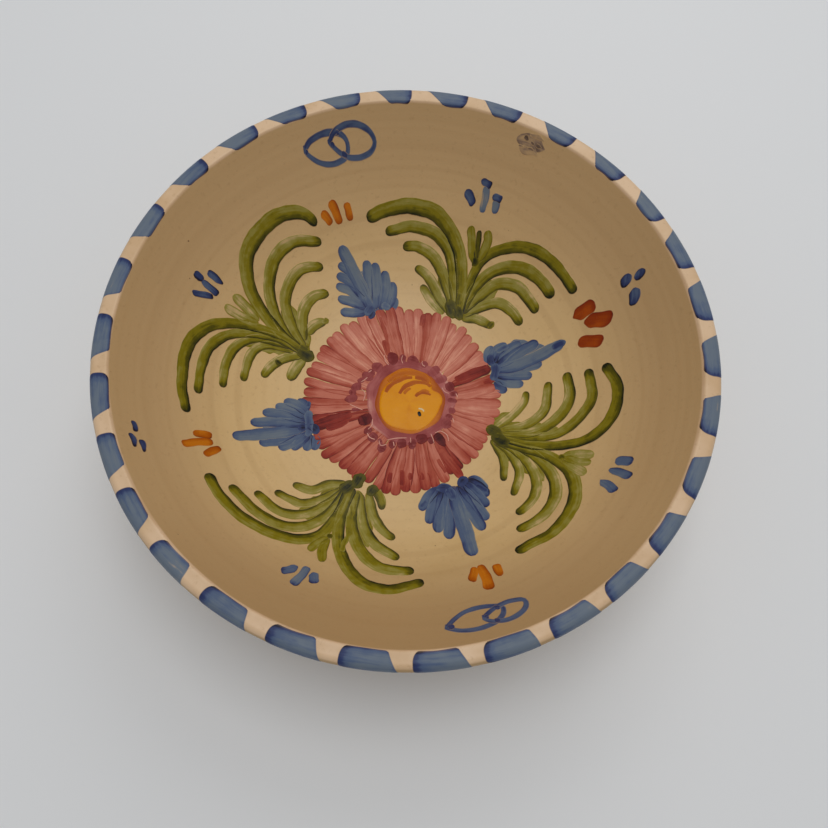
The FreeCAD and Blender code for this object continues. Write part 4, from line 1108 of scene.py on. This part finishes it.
for width, load, *line in SCUFF_STROKES:
    dab(scuff_painting, line, width, scuff_random, load=load, pool=0.0, root=0.4, tip=0.3, thick=0.05,
        lift=0.01 * len(scuff_painting.places), ragged=0.3, outline=0.2)
scuff_painting.piece("glaze_scuff", None, scuff_finish, "cream_glaze")

# ---------------------------------------------------------------- table, light and camera
# A plain pale table, a large soft light overhead, another behind as from a window, and an even
# sky of soft grey. The camera stands close in front, looking steeply down into the dish.
table_mesh = bpy.data.meshes.new("table")
REACH = 6.0
table_mesh.from_pydata(
    [(-REACH, -REACH, 0), (REACH, -REACH, 0), (REACH, REACH, 0), (-REACH, REACH, 0)], [], [(0, 1, 2, 3)]
)
table = bpy.data.objects.new("table", table_mesh)
bpy.context.scene.collection.objects.link(table)
table_paint = Finish("table_paint")
table_paint.feed(table_paint.shader.inputs["Base Color"], (0.83, 0.835, 0.84, 1))
table_paint.feed(table_paint.shader.inputs["Roughness"], 0.6)
table.data.materials.append(table_paint.material)
PANEL = 1.0
LIT_SPOT = Vector((0, 0, 0.03))


def soft_light(name, place, power):
    """A large square panel of light, aimed at the dish."""
    lamp = bpy.data.lights.new(name, "AREA")
    lamp.shape = "RECTANGLE"
    lamp.size, lamp.size_y = PANEL, PANEL
    lamp.energy = power
    holder = bpy.data.objects.new(name, lamp)
    bpy.context.scene.collection.objects.link(holder)
    holder.location = place
    holder.rotation_euler = (LIT_SPOT - Vector(place)).to_track_quat("-Z", "Y").to_euler()


soft_light("ceiling_light", (0.08, 0.16, 1.9), 9.0)
soft_light("window_light", (0.24, 1.25, 1.35), 5.4)
sky = bpy.data.worlds.new("soft_sky")
sky.use_nodes = True
glow = sky.node_tree.nodes["Background"]
glow.inputs["Color"].default_value = (0.96, 0.98, 1.0, 1)
glow.inputs["Strength"].default_value = 0.39
bpy.context.scene.world = sky
bpy.context.scene.view_settings.view_transform = "Standard"

camera_data = bpy.data.cameras.new("camera")
camera = bpy.data.objects.new("camera", camera_data)
bpy.context.scene.collection.objects.link(camera)
bpy.context.scene.camera = camera
camera_data.sensor_width = 36
camera_data.lens = 35.65
RISE = math.radians(70.376)
ROLL = math.radians(3.827)
RIM_PLANE = LIP_TOP - 1.2
CAMERA_RIGHT = 5.596
CAMERA_FRONT = 162.624
CAMERA_OVER_RIM = 356.724
towards = Vector((0, -math.cos(RISE), math.sin(RISE)))
level_right = Vector((1, 0, 0))
level_up = towards.cross(level_right)
right = level_right * math.cos(ROLL) + level_up * math.sin(ROLL)
up = level_up * math.cos(ROLL) - level_right * math.sin(ROLL)
camera_place = Vector((CAMERA_RIGHT, -CAMERA_FRONT, CAMERA_OVER_RIM + RIM_PLANE)) * MM
facing = Matrix((right, up, towards)).transposed().to_4x4()
camera.matrix_world = Matrix.Translation(camera_place) @ facing
